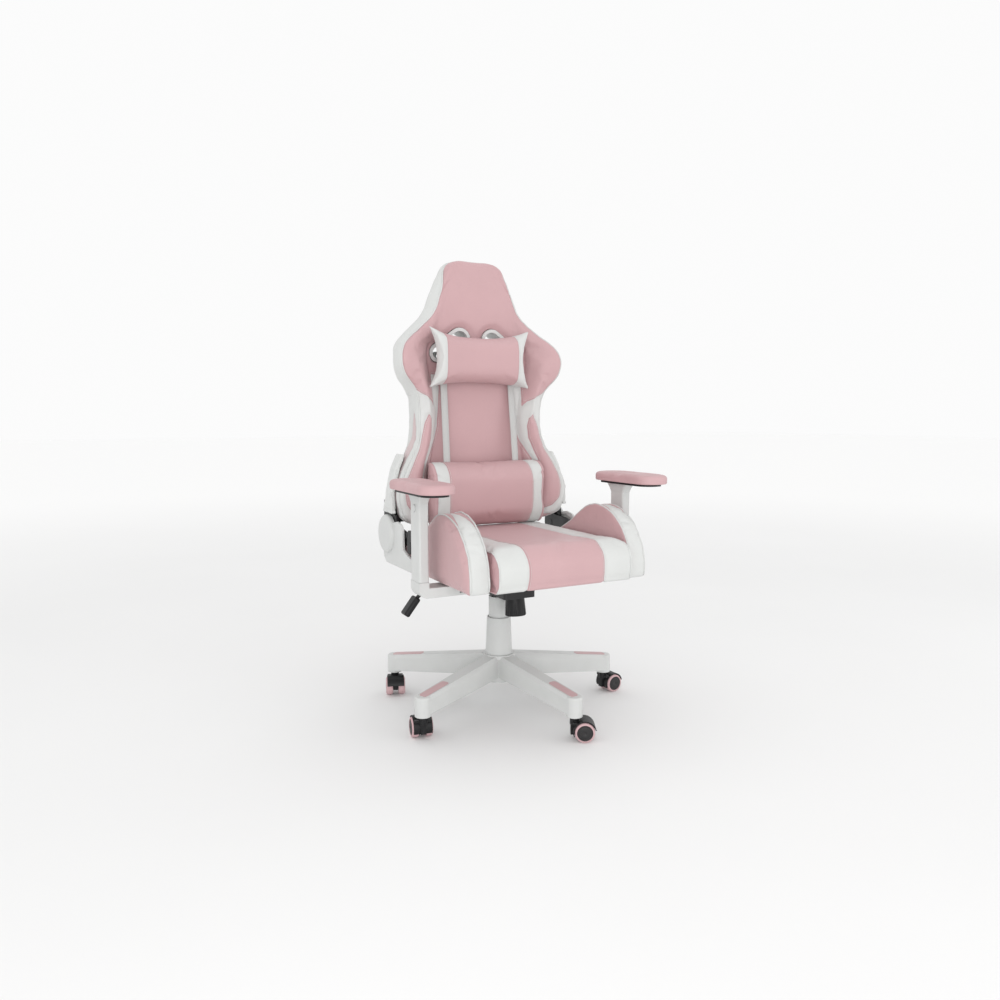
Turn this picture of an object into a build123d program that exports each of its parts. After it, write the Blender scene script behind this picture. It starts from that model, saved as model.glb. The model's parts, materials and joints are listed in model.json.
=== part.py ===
from build123d import *
from math import atan2, cos, degrees, radians, sin
import os

# Gaming chair with a five-leg castor base, gas lift, rocking mechanism, bucket seat,
# height-adjustable armrests and a reclining winged back.
# Millimetres. Origin: the lift column's axis at floor level. +Z up, the chair faces -Y,
# and the sitter's right hand is on the -X side.

# ---- driving dimensions ----------------------------------------------------------------
FIT = 0.05                # radial running clearance of a shaft in its hole
GAP = 0.5                 # clear gap between separate bodies

WHEEL_R = 25.0
WHEEL_W = 19.0
WHEEL_DOME = 0.8          # height of the shallow cone on a wheel's outer face
CASTER_WEB = 7.0          # half the width of the web between a caster's two wheels
CASTER_TRAIL = 24.5
STEM_R = 5.0
AXLE_R = 2.5
AXLE_REACH = 7.0          # how far an axle end goes into its wheel
# direction of each caster's trail, degrees from +X, for legs 1 to 5
TRAIL_HEADINGS = (-28.0, 4.0, 122.0, -108.4, 79.5)

LEG_COUNT = 5
FIRST_LEG_ANGLE = 278.0
STEM_CIRCLE_R = 315.0
LEG_TIP_Z = 60.0
LEG_TIP_R = 20.5
LEG_ROOT_BOTTOM_Z = 86.0
LEG_END_BOTTOM_Z = 66.0
RECESS_DEPTH = 8.0        # of the ribbed recess along each leg's underside
RIB_X = (110.0, 170.0, 230.0)
RIB_T = 3.0
HUB_R = 45.0
HUB_BOTTOM_Z = 72.0
HUB_TOP_Z = 145.0
TIP_TOP_Z = 111.0

TUBE_R = 25.0
TUBE_BOTTOM_Z = 74.0
TUBE_TOP_Z = 240.0
GAS_R = 14.0
THRUST_Z = 84.0           # top of the thrust bearing at the tube's foot
GAS_BOTTOM_Z = 150.0
GAS_TOP_Z = 334.0
ROD_R = 5.0
RELEASE_R = 3.0

TILT_Y = 30.0             # tilt pin's place behind the column
TILT_Z = 336.0
TILT_PIN_R = 6.0
KNOB_Y = -90.0
KNOB_TOP_Z = 317.0
KNOB_LEAN = -6.0          # degrees about X; the knob's foot leans forwards
ROCKER_X = -32.0
ROCKER_Z = 345.0
LEVER_ROD_R = 5.0

SEAT_HALF_W = 189.5
SEAT_FRONT_Y = -357.0
SEAT_REAR_Y = 126.0
SEAT_BOTTOM_Z = 388.0
SEAT_TOP_Z = 485.0
WING_IN_X = 190.5
WING_OUT_X = 250.0
RAIL_X = 170.0
RAIL_FRONT_Y = -200.0
RAIL_REAR_Y = 143.5
REAR_TUBE_Z = 396.0
RAIL_Z0 = 366.0
RAIL_Z1 = 382.0

ARM_X = 292.0
ARM_Y = -150.0
ARM_Z0 = 360.0
SLEEVE_Z0 = 399.0
SLEEVE_TOP_Z = 610.0
POST_TOP_Z = 558.0
POST_HALF = (8.3, 20.3)
SLEEVE_HALF = (12.5, 27.5)
PAD_X = 300.0
PAD_Y = -182.0
PAD_Z0 = 615.0
PAD_T = 25.0
PAD_HALF = (46.0, 126.0)
PAD_BASE_HALF = (34.0, 107.0)

HINGE_Y = 140.0
HINGE_Z = 474.0
HINGE_PIN_R = 8.0
LOWER_PLATE_X = 251.0
UPPER_PLATE_X = 255.5
HINGE_PLATE_T = 4.0
COVER_X = 261.0
COVER_DISC_R = 52.0
RECLINE_LEVER_Y = 55.0
RECLINE_LEVER_Z = 478.0

BACK_FRONT_Y = 137.0
BACK_REAR_Y = 195.0
FRAME_Y = 167.0
FRAME_TUBE_R = 9.0
STRAP_X = 104.0
STRAP_Y = 132.2
STRAP_T = 2.0

os.makedirs("parts", exist_ok=True)


# ---- helpers ---------------------------------------------------------------------------
def save(shape, name):
    export_step(shape, "parts/" + name + ".step")


def block(x0, x1, y0, y1, z0, z1):
    """A box between two corners."""
    centre = Pos((x0 + x1) / 2, (y0 + y1) / 2, (z0 + z1) / 2)
    return centre * Box(abs(x1 - x0), abs(y1 - y0), abs(z1 - z0))


def upright(r, z0, z1, x=0.0, y=0.0):
    """A vertical cylinder."""
    return Pos(x, y, (z0 + z1) / 2) * Cylinder(r, z1 - z0)


def along_x(r, x0, x1, y, z):
    """A cylinder parallel to X."""
    return Pos((x0 + x1) / 2, y, z) * Rot(0, 90, 0) * Cylinder(r, abs(x1 - x0))


def along_y(r, y0, y1, x, z):
    """A cylinder parallel to Y."""
    return Pos(x, (y0 + y1) / 2, z) * Rot(90, 0, 0) * Cylinder(r, abs(y1 - y0))


def cone(r0, r1, z0, z1):
    """A vertical cone frustum about the column's axis."""
    return Pos(0, 0, (z0 + z1) / 2) * Cone(r0, r1, z1 - z0)


def mirrored(shape):
    """The same shape on the other side of the chair's middle plane."""
    return mirror(shape, about=Plane.YZ)


def both_sides(shape):
    return Compound(children=[shape, mirrored(shape)])


def side_plate(points, x0, x1):
    """A plate cut to a (y, z) outline, from x0 to x1."""
    face = make_face(Polyline([(0, y, z) for y, z in points], close=True))
    solid = extrude(face, amount=x1 - x0, dir=(1, 0, 0))
    return Pos(x0, 0, 0) * solid


def at_leg(index):
    """The turn about Z that brings a leg drawn along +X to its place."""
    return Rot(0, 0, FIRST_LEG_ANGLE + index * 360.0 / LEG_COUNT)


# ---- base ------------------------------------------------------------------------------
LEG_START_X = 28.0
LEG_DROP = (HUB_TOP_Z - 1.0 - TIP_TOP_Z) / (STEM_CIRCLE_R - LEG_START_X)
INSERT_X = 272.0
INSERT_LEN = 92.0
INSERT_W = 24.0
INSERT_CORNER_R = 8.0
INSERT_DEPTH = 1.4
INSERT_PROUD = 0.8


def leg_top_z(x):
    return HUB_TOP_Z - 1.0 - LEG_DROP * (x - LEG_START_X)


def leg_section(x, half_low, half_top, z_low, z_top):
    """A leg's hipped cross-section: upright flanks and a narrower flat top."""
    z_hip = z_top - 9.0
    points = [(x, -half_low, z_low), (x, half_low, z_low), (x, half_low, z_hip),
              (x, half_top, z_top), (x, -half_top, z_top), (x, -half_low, z_hip)]
    return make_face(Polyline(points, close=True))


def insert_plane():
    slope = degrees(atan2(LEG_DROP, 1.0))
    return Pos(INSERT_X, 0, leg_top_z(INSERT_X)) * Rot(0, slope, 0)


def leg_bottom_z(x):
    drop = (LEG_ROOT_BOTTOM_Z - LEG_END_BOTTOM_Z) / (STEM_CIRCLE_R - LEG_START_X)
    return LEG_ROOT_BOTTOM_Z - drop * (x - LEG_START_X)


def leg_recess():
    """The room between the ribs on the underside of one leg."""
    wall = 5.0
    start, end = HUB_R + wall, STEM_CIRCLE_R - LEG_TIP_R - wall
    sections = []
    for x, half_w in ((start, 20.0), (end, 15.0)):
        z = leg_bottom_z(x)
        sections.append(make_face(Polyline(
            [(x, -half_w, z - 10), (x, half_w, z - 10), (x, half_w - 2, z + RECESS_DEPTH),
             (x, 2 - half_w, z + RECESS_DEPTH)], close=True)))
    recess = loft(sections, ruled=True)
    for x in RIB_X:
        recess = recess - block(x - RIB_T / 2, x + RIB_T / 2, -30, 30, 0, 200)
    return recess


def star_base():
    outer = loft([leg_section(LEG_START_X, 26.0, 19.0, LEG_ROOT_BOTTOM_Z, leg_top_z(LEG_START_X)),
                  leg_section(STEM_CIRCLE_R, LEG_TIP_R, 15.5, LEG_END_BOTTOM_Z, TIP_TOP_Z)],
                 ruled=True)
    tip = upright(LEG_TIP_R, LEG_TIP_Z, TIP_TOP_Z - 0.6, STEM_CIRCLE_R)
    tip = fillet(tip.edges().group_by(Axis.Z)[-1], 5.0)
    pocket = RectangleRounded(INSERT_LEN + 0.2, INSERT_W + 0.2, INSERT_CORNER_R)
    recess = insert_plane() * Pos(0, 0, -INSERT_DEPTH) * extrude(pocket, amount=INSERT_DEPTH * 4)
    socket = upright(STEM_R + 0.02, LEG_TIP_Z - 1, 102.0, STEM_CIRCLE_R)
    leg = outer + tip - leg_recess() - recess - socket
    base = upright(HUB_R, HUB_BOTTOM_Z, HUB_TOP_Z)
    for index in range(LEG_COUNT):
        base = base + at_leg(index) * leg
    return base - upright(TUBE_R + 0.02, HUB_BOTTOM_Z - 1, HUB_TOP_Z + 1)


def leg_inserts():
    plate = extrude(RectangleRounded(INSERT_LEN, INSERT_W, INSERT_CORNER_R),
                    amount=INSERT_DEPTH + INSERT_PROUD)
    plate = fillet(plate.edges().group_by(Axis.Z)[-1], 0.6)
    plate = insert_plane() * Pos(0, 0, -INSERT_DEPTH) * plate
    return Compound(children=[at_leg(index) * plate for index in range(LEG_COUNT)])


def caster_stems():
    """The steel stems gripped by the leg tips; each hood turns on the lower end."""
    stem = upright(STEM_R, 34.5, 101.5, STEM_CIRCLE_R)
    return Compound(children=[at_leg(index) * stem for index in range(LEG_COUNT)])


# ---- casters ---------------------------------------------------------------------------
def caster_frame(index):
    """The caster's own frame: origin on the floor under the stem, +X along the trail."""
    angle = radians(FIRST_LEG_ANGLE + index * 360.0 / LEG_COUNT)
    place = Pos(STEM_CIRCLE_R * cos(angle), STEM_CIRCLE_R * sin(angle), 0)
    return place * Rot(0, 0, TRAIL_HEADINGS[index])


HOOD_R = WHEEL_R + 3.8
HOOD_HALF_W = CASTER_WEB + GAP + WHEEL_W - 3.0


def caster_hood():
    """The hood over both wheels, with the web between them, the stem socket and the axle."""
    shell = along_y(HOOD_R, -HOOD_HALF_W, HOOD_HALF_W, CASTER_TRAIL, WHEEL_R)
    shell = shell - block(-60, 100, -60, 60, -10, 15.0)
    shell = shell - block(CASTER_TRAIL + 14.0, 100, -60, 60, -10, WHEEL_R + 6.0)
    boss = upright(11.0, 40.0, LEG_TIP_Z - GAP)
    boss = boss + block(-4.0, 6.0, -HOOD_HALF_W + 2, HOOD_HALF_W - 2, 44.0, 50.0)
    web = block(-9.0, CASTER_TRAIL, -CASTER_WEB, CASTER_WEB, 15.0, 50.0)
    body = shell + boss + web
    for side in (-1, 1):
        wheel_room = along_y(WHEEL_R + 1.3, side * CASTER_WEB, side * 60.0, CASTER_TRAIL, WHEEL_R)
        body = body - wheel_room
    body = body - upright(STEM_R + FIT, 34.0, 70.0)
    axle_half = CASTER_WEB + GAP + AXLE_REACH
    hole = along_y(AXLE_R, -60, 60, CASTER_TRAIL, WHEEL_R)
    axle = along_y(AXLE_R, -axle_half, axle_half, CASTER_TRAIL, WHEEL_R)
    return Compound(children=[body - hole, axle])


def caster_wheel(side):
    """One wheel: a rounded tread, a shallow dome outside and a blind axle bore inside."""
    edge_r = 3.0
    bore_depth = AXLE_REACH + GAP
    wheel = Cylinder(WHEEL_R, WHEEL_W)
    wheel = fillet(wheel.edges().filter_by(GeomType.CIRCLE), edge_r)
    dome = Cone(WHEEL_R - edge_r, WHEEL_R - 3 * edge_r, WHEEL_DOME)
    wheel = wheel + Pos(0, 0, (WHEEL_W + WHEEL_DOME) / 2) * dome
    bore = Cylinder(AXLE_R + FIT, bore_depth)
    wheel = wheel - Pos(0, 0, (bore_depth - WHEEL_W) / 2) * bore
    turn = Rot(-90, 0, 0) if side > 0 else Rot(90, 0, 0)
    middle_y = side * (CASTER_WEB + GAP + WHEEL_W / 2)
    return Pos(CASTER_TRAIL, middle_y, WHEEL_R) * turn * wheel


def write_casters():
    for index in range(LEG_COUNT):
        frame = caster_frame(index)
        name = "caster_" + str(index + 1)
        save(frame * caster_hood(), name + "_hood")
        save(frame * caster_wheel(1), name + "_wheel_left")
        save(frame * caster_wheel(-1), name + "_wheel_right")


# ---- gas lift --------------------------------------------------------------------------
def lift_outer_tube():
    tube = upright(TUBE_R, TUBE_BOTTOM_Z, TUBE_TOP_Z) - upright(23.0, TUBE_BOTTOM_Z + 4, 300)
    return tube - upright(ROD_R + FIT, 0, 100)


def lift_bearings():
    """The guide bush inside the tube's mouth and the thrust bearing at its foot."""
    bush = upright(22.98, 180.0, TUBE_TOP_Z - 1) - upright(GAS_R + FIT, 100, 300)
    thrust = upright(15.0, TUBE_BOTTOM_Z + 4, THRUST_Z) - upright(ROD_R + FIT, 0, 100)
    return Compound(children=[bush, thrust])


def piston_rod():
    return upright(ROD_R, TUBE_BOTTOM_Z + GAP, 258.0) + upright(12.0, THRUST_Z + 0.1, THRUST_Z + 4)


def gas_cylinder():
    body = upright(GAS_R, GAS_BOTTOM_Z, 300.0) + cone(GAS_R, GAS_R - 1.0, 300.0, GAS_TOP_Z)
    bore = upright(ROD_R + FIT, GAS_BOTTOM_Z - 1, 318.0)
    return body - bore - upright(RELEASE_R + FIT, 310.0, 340.0)


def release_pin():
    return upright(RELEASE_R, 324.0, GAS_TOP_Z + 3.0)


def lift_cover_lower():
    outer = cone(36.5, 32.5, HUB_TOP_Z, 246.0)
    outer = fillet(outer.edges().group_by(Axis.Z)[-1], 1.2)
    return outer - upright(29.5, 100, 300)


def lift_cover_upper():
    sleeve = upright(27.5, 206.0, 303.0) - upright(26.0, 200.0, 310.0)
    collar = upright(26.5, 298.0, 301.0) - upright(GAS_R + 0.02, 290, 310)
    return sleeve + collar


# ---- rocking mechanism -----------------------------------------------------------------
HOUSING_HALF_W = 46.0
HOUSING_WALL = 4.0
HOUSING_FRONT_Y = -120.0
HOUSING_REAR_Y = 50.0
HOUSING_TOP_Z = 350.0
HOUSING_FLOOR_Z = 318.0


def knob_place():
    return Pos(0, KNOB_Y, KNOB_TOP_Z) * Rot(KNOB_LEAN, 0, 0)


def mechanism_housing():
    """A pressed steel tray: tapered socket for the lift, pin ears, and the knob's floor."""
    pan = block(-HOUSING_HALF_W, HOUSING_HALF_W, HOUSING_FRONT_Y, HOUSING_REAR_Y,
                HOUSING_FLOOR_Z, HOUSING_TOP_Z)
    pan = fillet(pan.edges().filter_by(Axis.Z), 8.0)
    hollow = block(-HOUSING_HALF_W + HOUSING_WALL, HOUSING_HALF_W - HOUSING_WALL,
                   HOUSING_FRONT_Y + HOUSING_WALL, HOUSING_REAR_Y - HOUSING_WALL,
                   HOUSING_FLOOR_Z + HOUSING_WALL, HOUSING_TOP_Z + 10)
    socket = upright(22.0, 304.0, 333.0)
    shape = pan - hollow + socket
    taper = upright(GAS_R + 0.02, 290, 300.0) + cone(GAS_R + 0.02, GAS_R - 0.98, 300.0, GAS_TOP_Z)
    window = block(-60, -30, -11, 11, 333.0, 360.0)
    stud_hole = knob_place() * Cylinder(5.0 + FIT, 80)
    pin_hole = along_x(TILT_PIN_R, -60, 60, TILT_Y, TILT_Z)
    return shape - taper - window - stud_hole - pin_hole


def tilt_pin():
    return along_x(TILT_PIN_R, -56.0, 56.0, TILT_Y, TILT_Z)


def tension_knob():
    """The cup-shaped knob with its threaded stud and finger flutes."""
    cup = Pos(0, 0, -25.5) * Cone(28.0, 25.0, 47.0)
    cup = fillet(cup.edges().group_by(Axis.Z)[0], 4.0)
    cup = cup - Pos(0, 0, -20.0) * Cylinder(20.5, 42.0)
    for index in range(12):
        groove = Rot(0, 0, index * 30.0) * Pos(29.6, 0, -25.0) * Cylinder(4.0, 60.0)
        cup = cup - groove
    stud = Pos(0, 0, -3.0) * Cylinder(5.0, 80.0)
    return knob_place() * (cup + stud)


def tension_spring():
    wire_r = 1.6
    path = Helix(pitch=7.0, height=28.0, radius=14.0)
    start = Plane(origin=path @ 0, z_dir=path % 0)
    coil = sweep(start * Circle(wire_r), path=path, is_frenet=True)
    return knob_place() * Pos(0, 0, -34.0) * coil


def lever_rocker():
    """The steel rocker: its finger presses the release pin and its sleeve holds the rod."""
    sleeve = along_x(8.0, -58.0, -24.0, 0, ROCKER_Z)
    finger = block(-26.0, RELEASE_R, -6.0, 6.0, GAS_TOP_Z + 3.8, ROCKER_Z + 2)
    pivot = along_y(4.0, -9.0, 9.0, ROCKER_X, ROCKER_Z)
    return sleeve + finger + pivot - along_x(LEVER_ROD_R + FIT, -60, -26.0, 0, ROCKER_Z)


def height_lever():
    path = FilletPolyline((-27.0, 0, ROCKER_Z), (-196.0, 0, ROCKER_Z),
                          (-224.0, 10.0, 330.0), (-240.0, 15.0, 312.0), radius=18.0)
    start = Plane(origin=path @ 0, z_dir=path % 0)
    return sweep(start * Circle(LEVER_ROD_R), path=path)


def height_lever_grip():
    """The flattened plastic paddle at the rod's outer end."""
    place = Pos(-250.0, 15.0, 300.0) * Rot(0, 38.0, 0)
    paddle = Pos(0, 0, -3.0) * Box(17.0, 36.0, 56.0)
    paddle = fillet(paddle.edges().filter_by(Axis.Z), 7.5)
    paddle = fillet(paddle.edges().group_by(Axis.Z)[0] + paddle.edges().group_by(Axis.Z)[-1], 5.0)
    return place * paddle - height_lever()


# ---- seat ------------------------------------------------------------------------------
BOLT_R = 4.0
PLATE_BOLTS = ((60.0, -95.0), (60.0, 62.0))
BRACKET_BOLTS = ((RAIL_X, ARM_Y - 16.0), (RAIL_X, ARM_Y + 16.0))


def tilt_plate():
    """The steel plate under the seat frame, with two ears that hang on the tilt pin."""
    plate = block(-76, 76, -118, 84, 358.0, 362.0)
    plate = fillet(plate.edges().filter_by(Axis.Z), 10.0)
    for side in (-1, 1):
        ear = block(side * 47.0, side * 51.0, 16, 44, 324.0, 359.0)
        ear = fillet(ear.edges().filter_by(Axis.X).group_by(Axis.Z)[0], 10.0)
        plate = plate + ear
        for x, y in PLATE_BOLTS:
            plate = plate - upright(BOLT_R + 0.1, 350, 370, side * x, y)
    return plate - along_x(TILT_PIN_R + FIT, -60, 60, TILT_Y, TILT_Z)


def seat_frame():
    """Square-tube rails and cross tubes with two flat straps for the tilt plate."""
    rails = block(-LOWER_PLATE_X, LOWER_PLATE_X, RAIL_REAR_Y - 16, RAIL_REAR_Y,
                  REAR_TUBE_Z, REAR_TUBE_Z + 16)
    rails = rails + block(-RAIL_X - 10, RAIL_X + 10, RAIL_FRONT_Y, RAIL_FRONT_Y + 20,
                          RAIL_Z0, RAIL_Z1)
    for side in (-1, 1):
        x0, x1 = side * (RAIL_X - 10), side * (RAIL_X + 10)
        rails = rails + block(x0, x1, RAIL_FRONT_Y, RAIL_REAR_Y, RAIL_Z0, RAIL_Z1)
        rails = rails + block(x0, x1, RAIL_REAR_Y - 16, RAIL_REAR_Y, RAIL_Z0, REAR_TUBE_Z + 1)
    for y in (-95.0, 62.0):
        rails = rails + block(-RAIL_X, RAIL_X, y - 18, y + 18, 362.0, RAIL_Z0 + 1)
    for side in (-1, 1):
        for x, y in PLATE_BOLTS + BRACKET_BOLTS:
            rails = rails - upright(BOLT_R + 0.1, 350, 378, side * x, y)
    return rails


def seat_bolts():
    """The bolts of the tilt plate and the arm brackets, heads down."""
    bolts = []
    for side in (-1, 1):
        for x, y in PLATE_BOLTS:
            head = extrude(RegularPolygon(7.0, 6), amount=4.0)
            bolts.append(Pos(side * x, y, 354.0) * head + upright(BOLT_R, 357, 368, side * x, y))
        for x, y in BRACKET_BOLTS:
            head = extrude(RegularPolygon(7.0, 6), amount=4.0)
            bolts.append(Pos(side * x, y, 356.0) * head + upright(BOLT_R, 359, 376, side * x, y))
    return Compound(children=bolts)


def seat_cushion():
    """The centre cushion: a deep block with a full rolled front edge."""
    cushion = block(-SEAT_HALF_W, SEAT_HALF_W, SEAT_FRONT_Y, SEAT_REAR_Y,
                    SEAT_BOTTOM_Z, SEAT_TOP_Z)
    front = cushion.edges().filter_by(Axis.X).group_by(Axis.Y)[0]
    cushion = fillet(front.sort_by(Axis.Z)[-1], 48.0)
    front = cushion.edges().filter_by(Axis.X).group_by(Axis.Y)[0]
    return fillet(front.sort_by(Axis.Z)[0], 26.0)


def seat_wing():
    """The bolster on the +X side: a half-disc side view falling away to the rear."""
    bottom = SEAT_BOTTOM_Z - 2.0
    edge = Wire([Line((0, -322, bottom), (0, -330, 402)),
                 ThreePointArc((0, -330, 402), (0, -288, 519), (0, -180, 566)),
                 Spline((0, -180, 566), (0, -110, 546), (0, -40, 502), (0, 50, 462),
                        (0, 111, 446), tangents=[(0, 1, 0), (0, 1, -0.2)]),
                 Line((0, 111, 446), (0, 111, bottom)),
                 Line((0, 111, bottom), (0, -322, bottom))])
    solid = extrude(make_face(edge), amount=WING_OUT_X - WING_IN_X, dir=(1, 0, 0))
    wing = Pos(WING_IN_X, 0, 0) * solid
    outer = wing.faces().sort_by(Axis.X)[-1]
    return fillet(outer.edges(), 12.0)


# ---- armrests --------------------------------------------------------------------------
def arm_bracket():
    """The L-shaped arm on the +X side: plate under the rail, arm, elbow and post."""
    y0, y1 = ARM_Y - SLEEVE_HALF[1], ARM_Y + SLEEVE_HALF[1]
    outer_x = ARM_X + SLEEVE_HALF[0]
    plate = block(112, outer_x - 20, y0, y1, ARM_Z0, RAIL_Z0 - 0.3)
    arm = block(200, outer_x, y0, y1, ARM_Z0, SEAT_BOTTOM_Z - 4.0)
    elbow = block(outer_x - 25, outer_x, y0, y1, ARM_Z0, SLEEVE_Z0 - GAP)
    body = arm + elbow
    corner = body.edges().filter_by(Axis.Y).group_by(Axis.X)[-1].sort_by(Axis.Z)[0]
    body = fillet(corner, 22.0)
    post = block(ARM_X - POST_HALF[0], ARM_X + POST_HALF[0],
                 ARM_Y - POST_HALF[1], ARM_Y + POST_HALF[1], SLEEVE_Z0 - 2, POST_TOP_Z)
    bracket = body + plate + post
    for x, y in BRACKET_BOLTS:
        bracket = bracket - upright(BOLT_R + 0.1, 350, 370, x, y)
    return bracket


BUTTON_Z = 574.0
BUTTON_HALF = (6.0, 9.0)


def arm_sleeve():
    """The sliding sleeve: a slim box that flares into the pad's seat at the top."""
    def ring(half_x, half_y, z, corner):
        return Pos(ARM_X, ARM_Y, z) * RectangleRounded(2 * half_x, 2 * half_y, corner)

    hx, hy = SLEEVE_HALF
    shaft = extrude(ring(hx, hy, SLEEVE_Z0, 5.0), amount=586.0 - SLEEVE_Z0)
    flare = loft([ring(hx, hy, 586.0, 5.0), ring(hx + 1.5, hy + 7, 598.0, 7.0),
                  ring(hx + 4.0, hy + 19, SLEEVE_TOP_Z, 12.0)])
    sleeve = shaft + flare
    px, py = POST_HALF
    cavity = block(ARM_X - px - GAP, ARM_X + px + GAP, ARM_Y - py - GAP, ARM_Y + py + GAP,
                   SLEEVE_Z0 - 1, 596.0)
    pivot = upright(8.0 + FIT, 590.0, 620.0, ARM_X, ARM_Y)
    hole = button_shape(ARM_X, ARM_X + 30.0, 0.2)
    return sleeve - cavity - pivot - hole


def button_shape(x0, x1, grow):
    hy, hz = BUTTON_HALF
    face = Plane.YZ * RectangleRounded(2 * (hy + grow), 2 * (hz + grow), hy + grow - 0.1)
    return Pos(x0, ARM_Y, BUTTON_Z) * extrude(face, amount=x1 - x0)


def arm_button():
    outer_x = ARM_X + SLEEVE_HALF[0]
    rim = button_shape(outer_x - 6.5, outer_x - 4.6, 2.0)
    return button_shape(outer_x - 6.5, outer_x + 3.0, 0.0) + rim


def arm_pad_base():
    hx, hy = PAD_BASE_HALF
    plate = Pos(PAD_X, PAD_Y, SLEEVE_TOP_Z + GAP) * extrude(
        RectangleRounded(2 * hx, 2 * hy, hx - 3.0), amount=PAD_Z0 - SLEEVE_TOP_Z - GAP)
    return plate + upright(8.0, 600.0, PAD_Z0 - 2, ARM_X, ARM_Y)


def arm_pad():
    hx, hy = PAD_HALF
    outline = RectangleRounded(2 * hx, 2 * hy, hx - 4.0)
    pad = Pos(PAD_X, PAD_Y, PAD_Z0) * extrude(outline, amount=PAD_T)
    pad = fillet(pad.edges().group_by(Axis.Z)[-1], 11.0)
    return fillet(pad.edges().group_by(Axis.Z)[0], 5.0)


# ---- recliner --------------------------------------------------------------------------
def hinge_lower_plate():
    """Steel plate on the +X side from the seat frame's rear tube up to the hinge."""
    x0, x1 = LOWER_PLATE_X, LOWER_PLATE_X + HINGE_PLATE_T
    foot = side_plate([(14, 466), (30, 490), (64, 496), (120, 500), (165, 480), (160, 440),
                       (148, 397), (96, 399), (84, 430), (40, 452)], x0, x1)
    plate = foot + along_x(34.0, x0, x1, HINGE_Y, HINGE_Z)
    lever_hole = along_x(5.0 + FIT, 200, 300, RECLINE_LEVER_Y, RECLINE_LEVER_Z)
    return plate - along_x(HINGE_PIN_R + FIT, 200, 300, HINGE_Y, HINGE_Z) - lever_hole


def hinge_upper_plate():
    """Steel plate on the +X side that carries the back, with its pivot and spacers."""
    x0, x1 = UPPER_PLATE_X, UPPER_PLATE_X + HINGE_PLATE_T
    arm = side_plate([(107, 474), (94, 500), (96, 526), (124, 534), (128, 562), (184, 562),
                      (186, 500), (173, 470)], x0, x1)
    plate = arm + along_x(34.0, x0, x1, HINGE_Y, HINGE_Z)
    plate = plate + along_x(HINGE_PIN_R, LOWER_PLATE_X - 1, x1, HINGE_Y, HINGE_Z)
    for z in SPACER_Z:
        plate = plate + along_x(8.0, HIP_TUBE_X + FRAME_TUBE_R - 1.0, x1, FRAME_Y, z)
    return plate - back_frame()


def recliner_cover():
    """Plastic cover on the +X side: domed disc over the hinge and a skirt running forward."""
    outline = [(176, 440), (168, 408), (150, 394), (-26, 394), (-34, 404), (-32, 428),
               (4, 437), (27, 446), (30, 496), (40, 508), (70, 514), (110, 506)]
    skirt = side_plate(outline, COVER_X, COVER_X + 7.0)
    skirt = skirt + along_x(COVER_DISC_R, COVER_X, COVER_X + 7.0, HINGE_Y, HINGE_Z)
    skirt = fillet(skirt.faces().sort_by(Axis.X)[-1].edges(), 2.5)
    dome = along_x(COVER_DISC_R, COVER_X, COVER_X + 17.0, HINGE_Y, HINGE_Z)
    dome = fillet(dome.faces().sort_by(Axis.X)[-1].edges(), 11.0)
    cover = skirt + dome
    inner = side_plate([(160, 436), (154, 410), (144, 400), (-22, 400), (-26, 422),
                        (8, 431), (34, 442), (38, 492), (72, 506), (104, 500)],
                       COVER_X - 1, COVER_X + 4.0)
    inner = inner + along_x(COVER_DISC_R - 4.0, COVER_X - 1, COVER_X + 9.0, HINGE_Y, HINGE_Z)
    cover = cover - inner
    boss_x = LOWER_PLATE_X + HINGE_PLATE_T
    for y, z in ((130.0, 408.0), (104.0, 408.0)):
        cover = cover + along_x(5.0, boss_x, COVER_X + 5.0, y, z)
    return cover


def recline_lever():
    """The recline handle on the -X side: pivot pin, steel arm and plastic grip."""
    x_in = -(LOWER_PLATE_X + HINGE_PLATE_T + GAP)
    pin = along_x(5.0, -LOWER_PLATE_X - GAP, x_in - 4.0, RECLINE_LEVER_Y, RECLINE_LEVER_Z)
    hub = along_x(11.0, x_in, x_in - 4.0, RECLINE_LEVER_Y, RECLINE_LEVER_Z)
    arm = side_plate([(-6, 481), (RECLINE_LEVER_Y, 471), (RECLINE_LEVER_Y, 486), (-6, 494)],
                     x_in - 4.0, x_in)
    head = block(x_in - 9.0, x_in, -30, -4, 472, 500)
    tail = block(x_in - 9.0, x_in, -20, 2, 440, 480)
    grip = [fillet(half.edges().filter_by(Axis.X), 3.0) for half in (head, tail)]
    return pin + hub + arm + grip[0] + grip[1]


# ---- back ------------------------------------------------------------------------------
HIP_TUBE_X = 228.0
SPACER_Z = (508.0, 546.0)
# Stations of the back, bottom to top: height, half-width at the front of the wings,
# half-width at the rear, half-width of the flat centre panel, the wings' front y.
BACK_STATIONS = (
    (489, 206, 200, 148, 84), (502, 236, 222, 155, 69), (540, 260, 236, 160, 57),
    (590, 266, 238, 158, 55), (650, 244, 230, 148, 63), (720, 208, 208, 134, 79),
    (790, 200, 202, 128, 86), (860, 210, 210, 136, 77), (910, 245, 238, 148, 63),
    (950, 252, 243, 152, 59), (990, 236, 237, 146, 72), (1030, 190, 203, 126, 97),
    (1075, 141, 163, 108, 117), (1130, 115, 135, 92, 125), (1185, 90, 106, 70, 130),
    (1207, 74, 88, 52, 135), (1217, 56, 68, 36, 141), (1222, 36, 44, 20, 150))
SIDE_Y = 158.0                        # where the back's flank turns towards its rear face
SLOT_TOP = (50.0, 1001.0, 32.0)       # x, z and radius of the slot bezel's upper lobe
SLOT_LOW = (116.0, 962.0, 25.0)       # the same for its lower, outer lobe
BEZEL_W = 9.0
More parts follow.
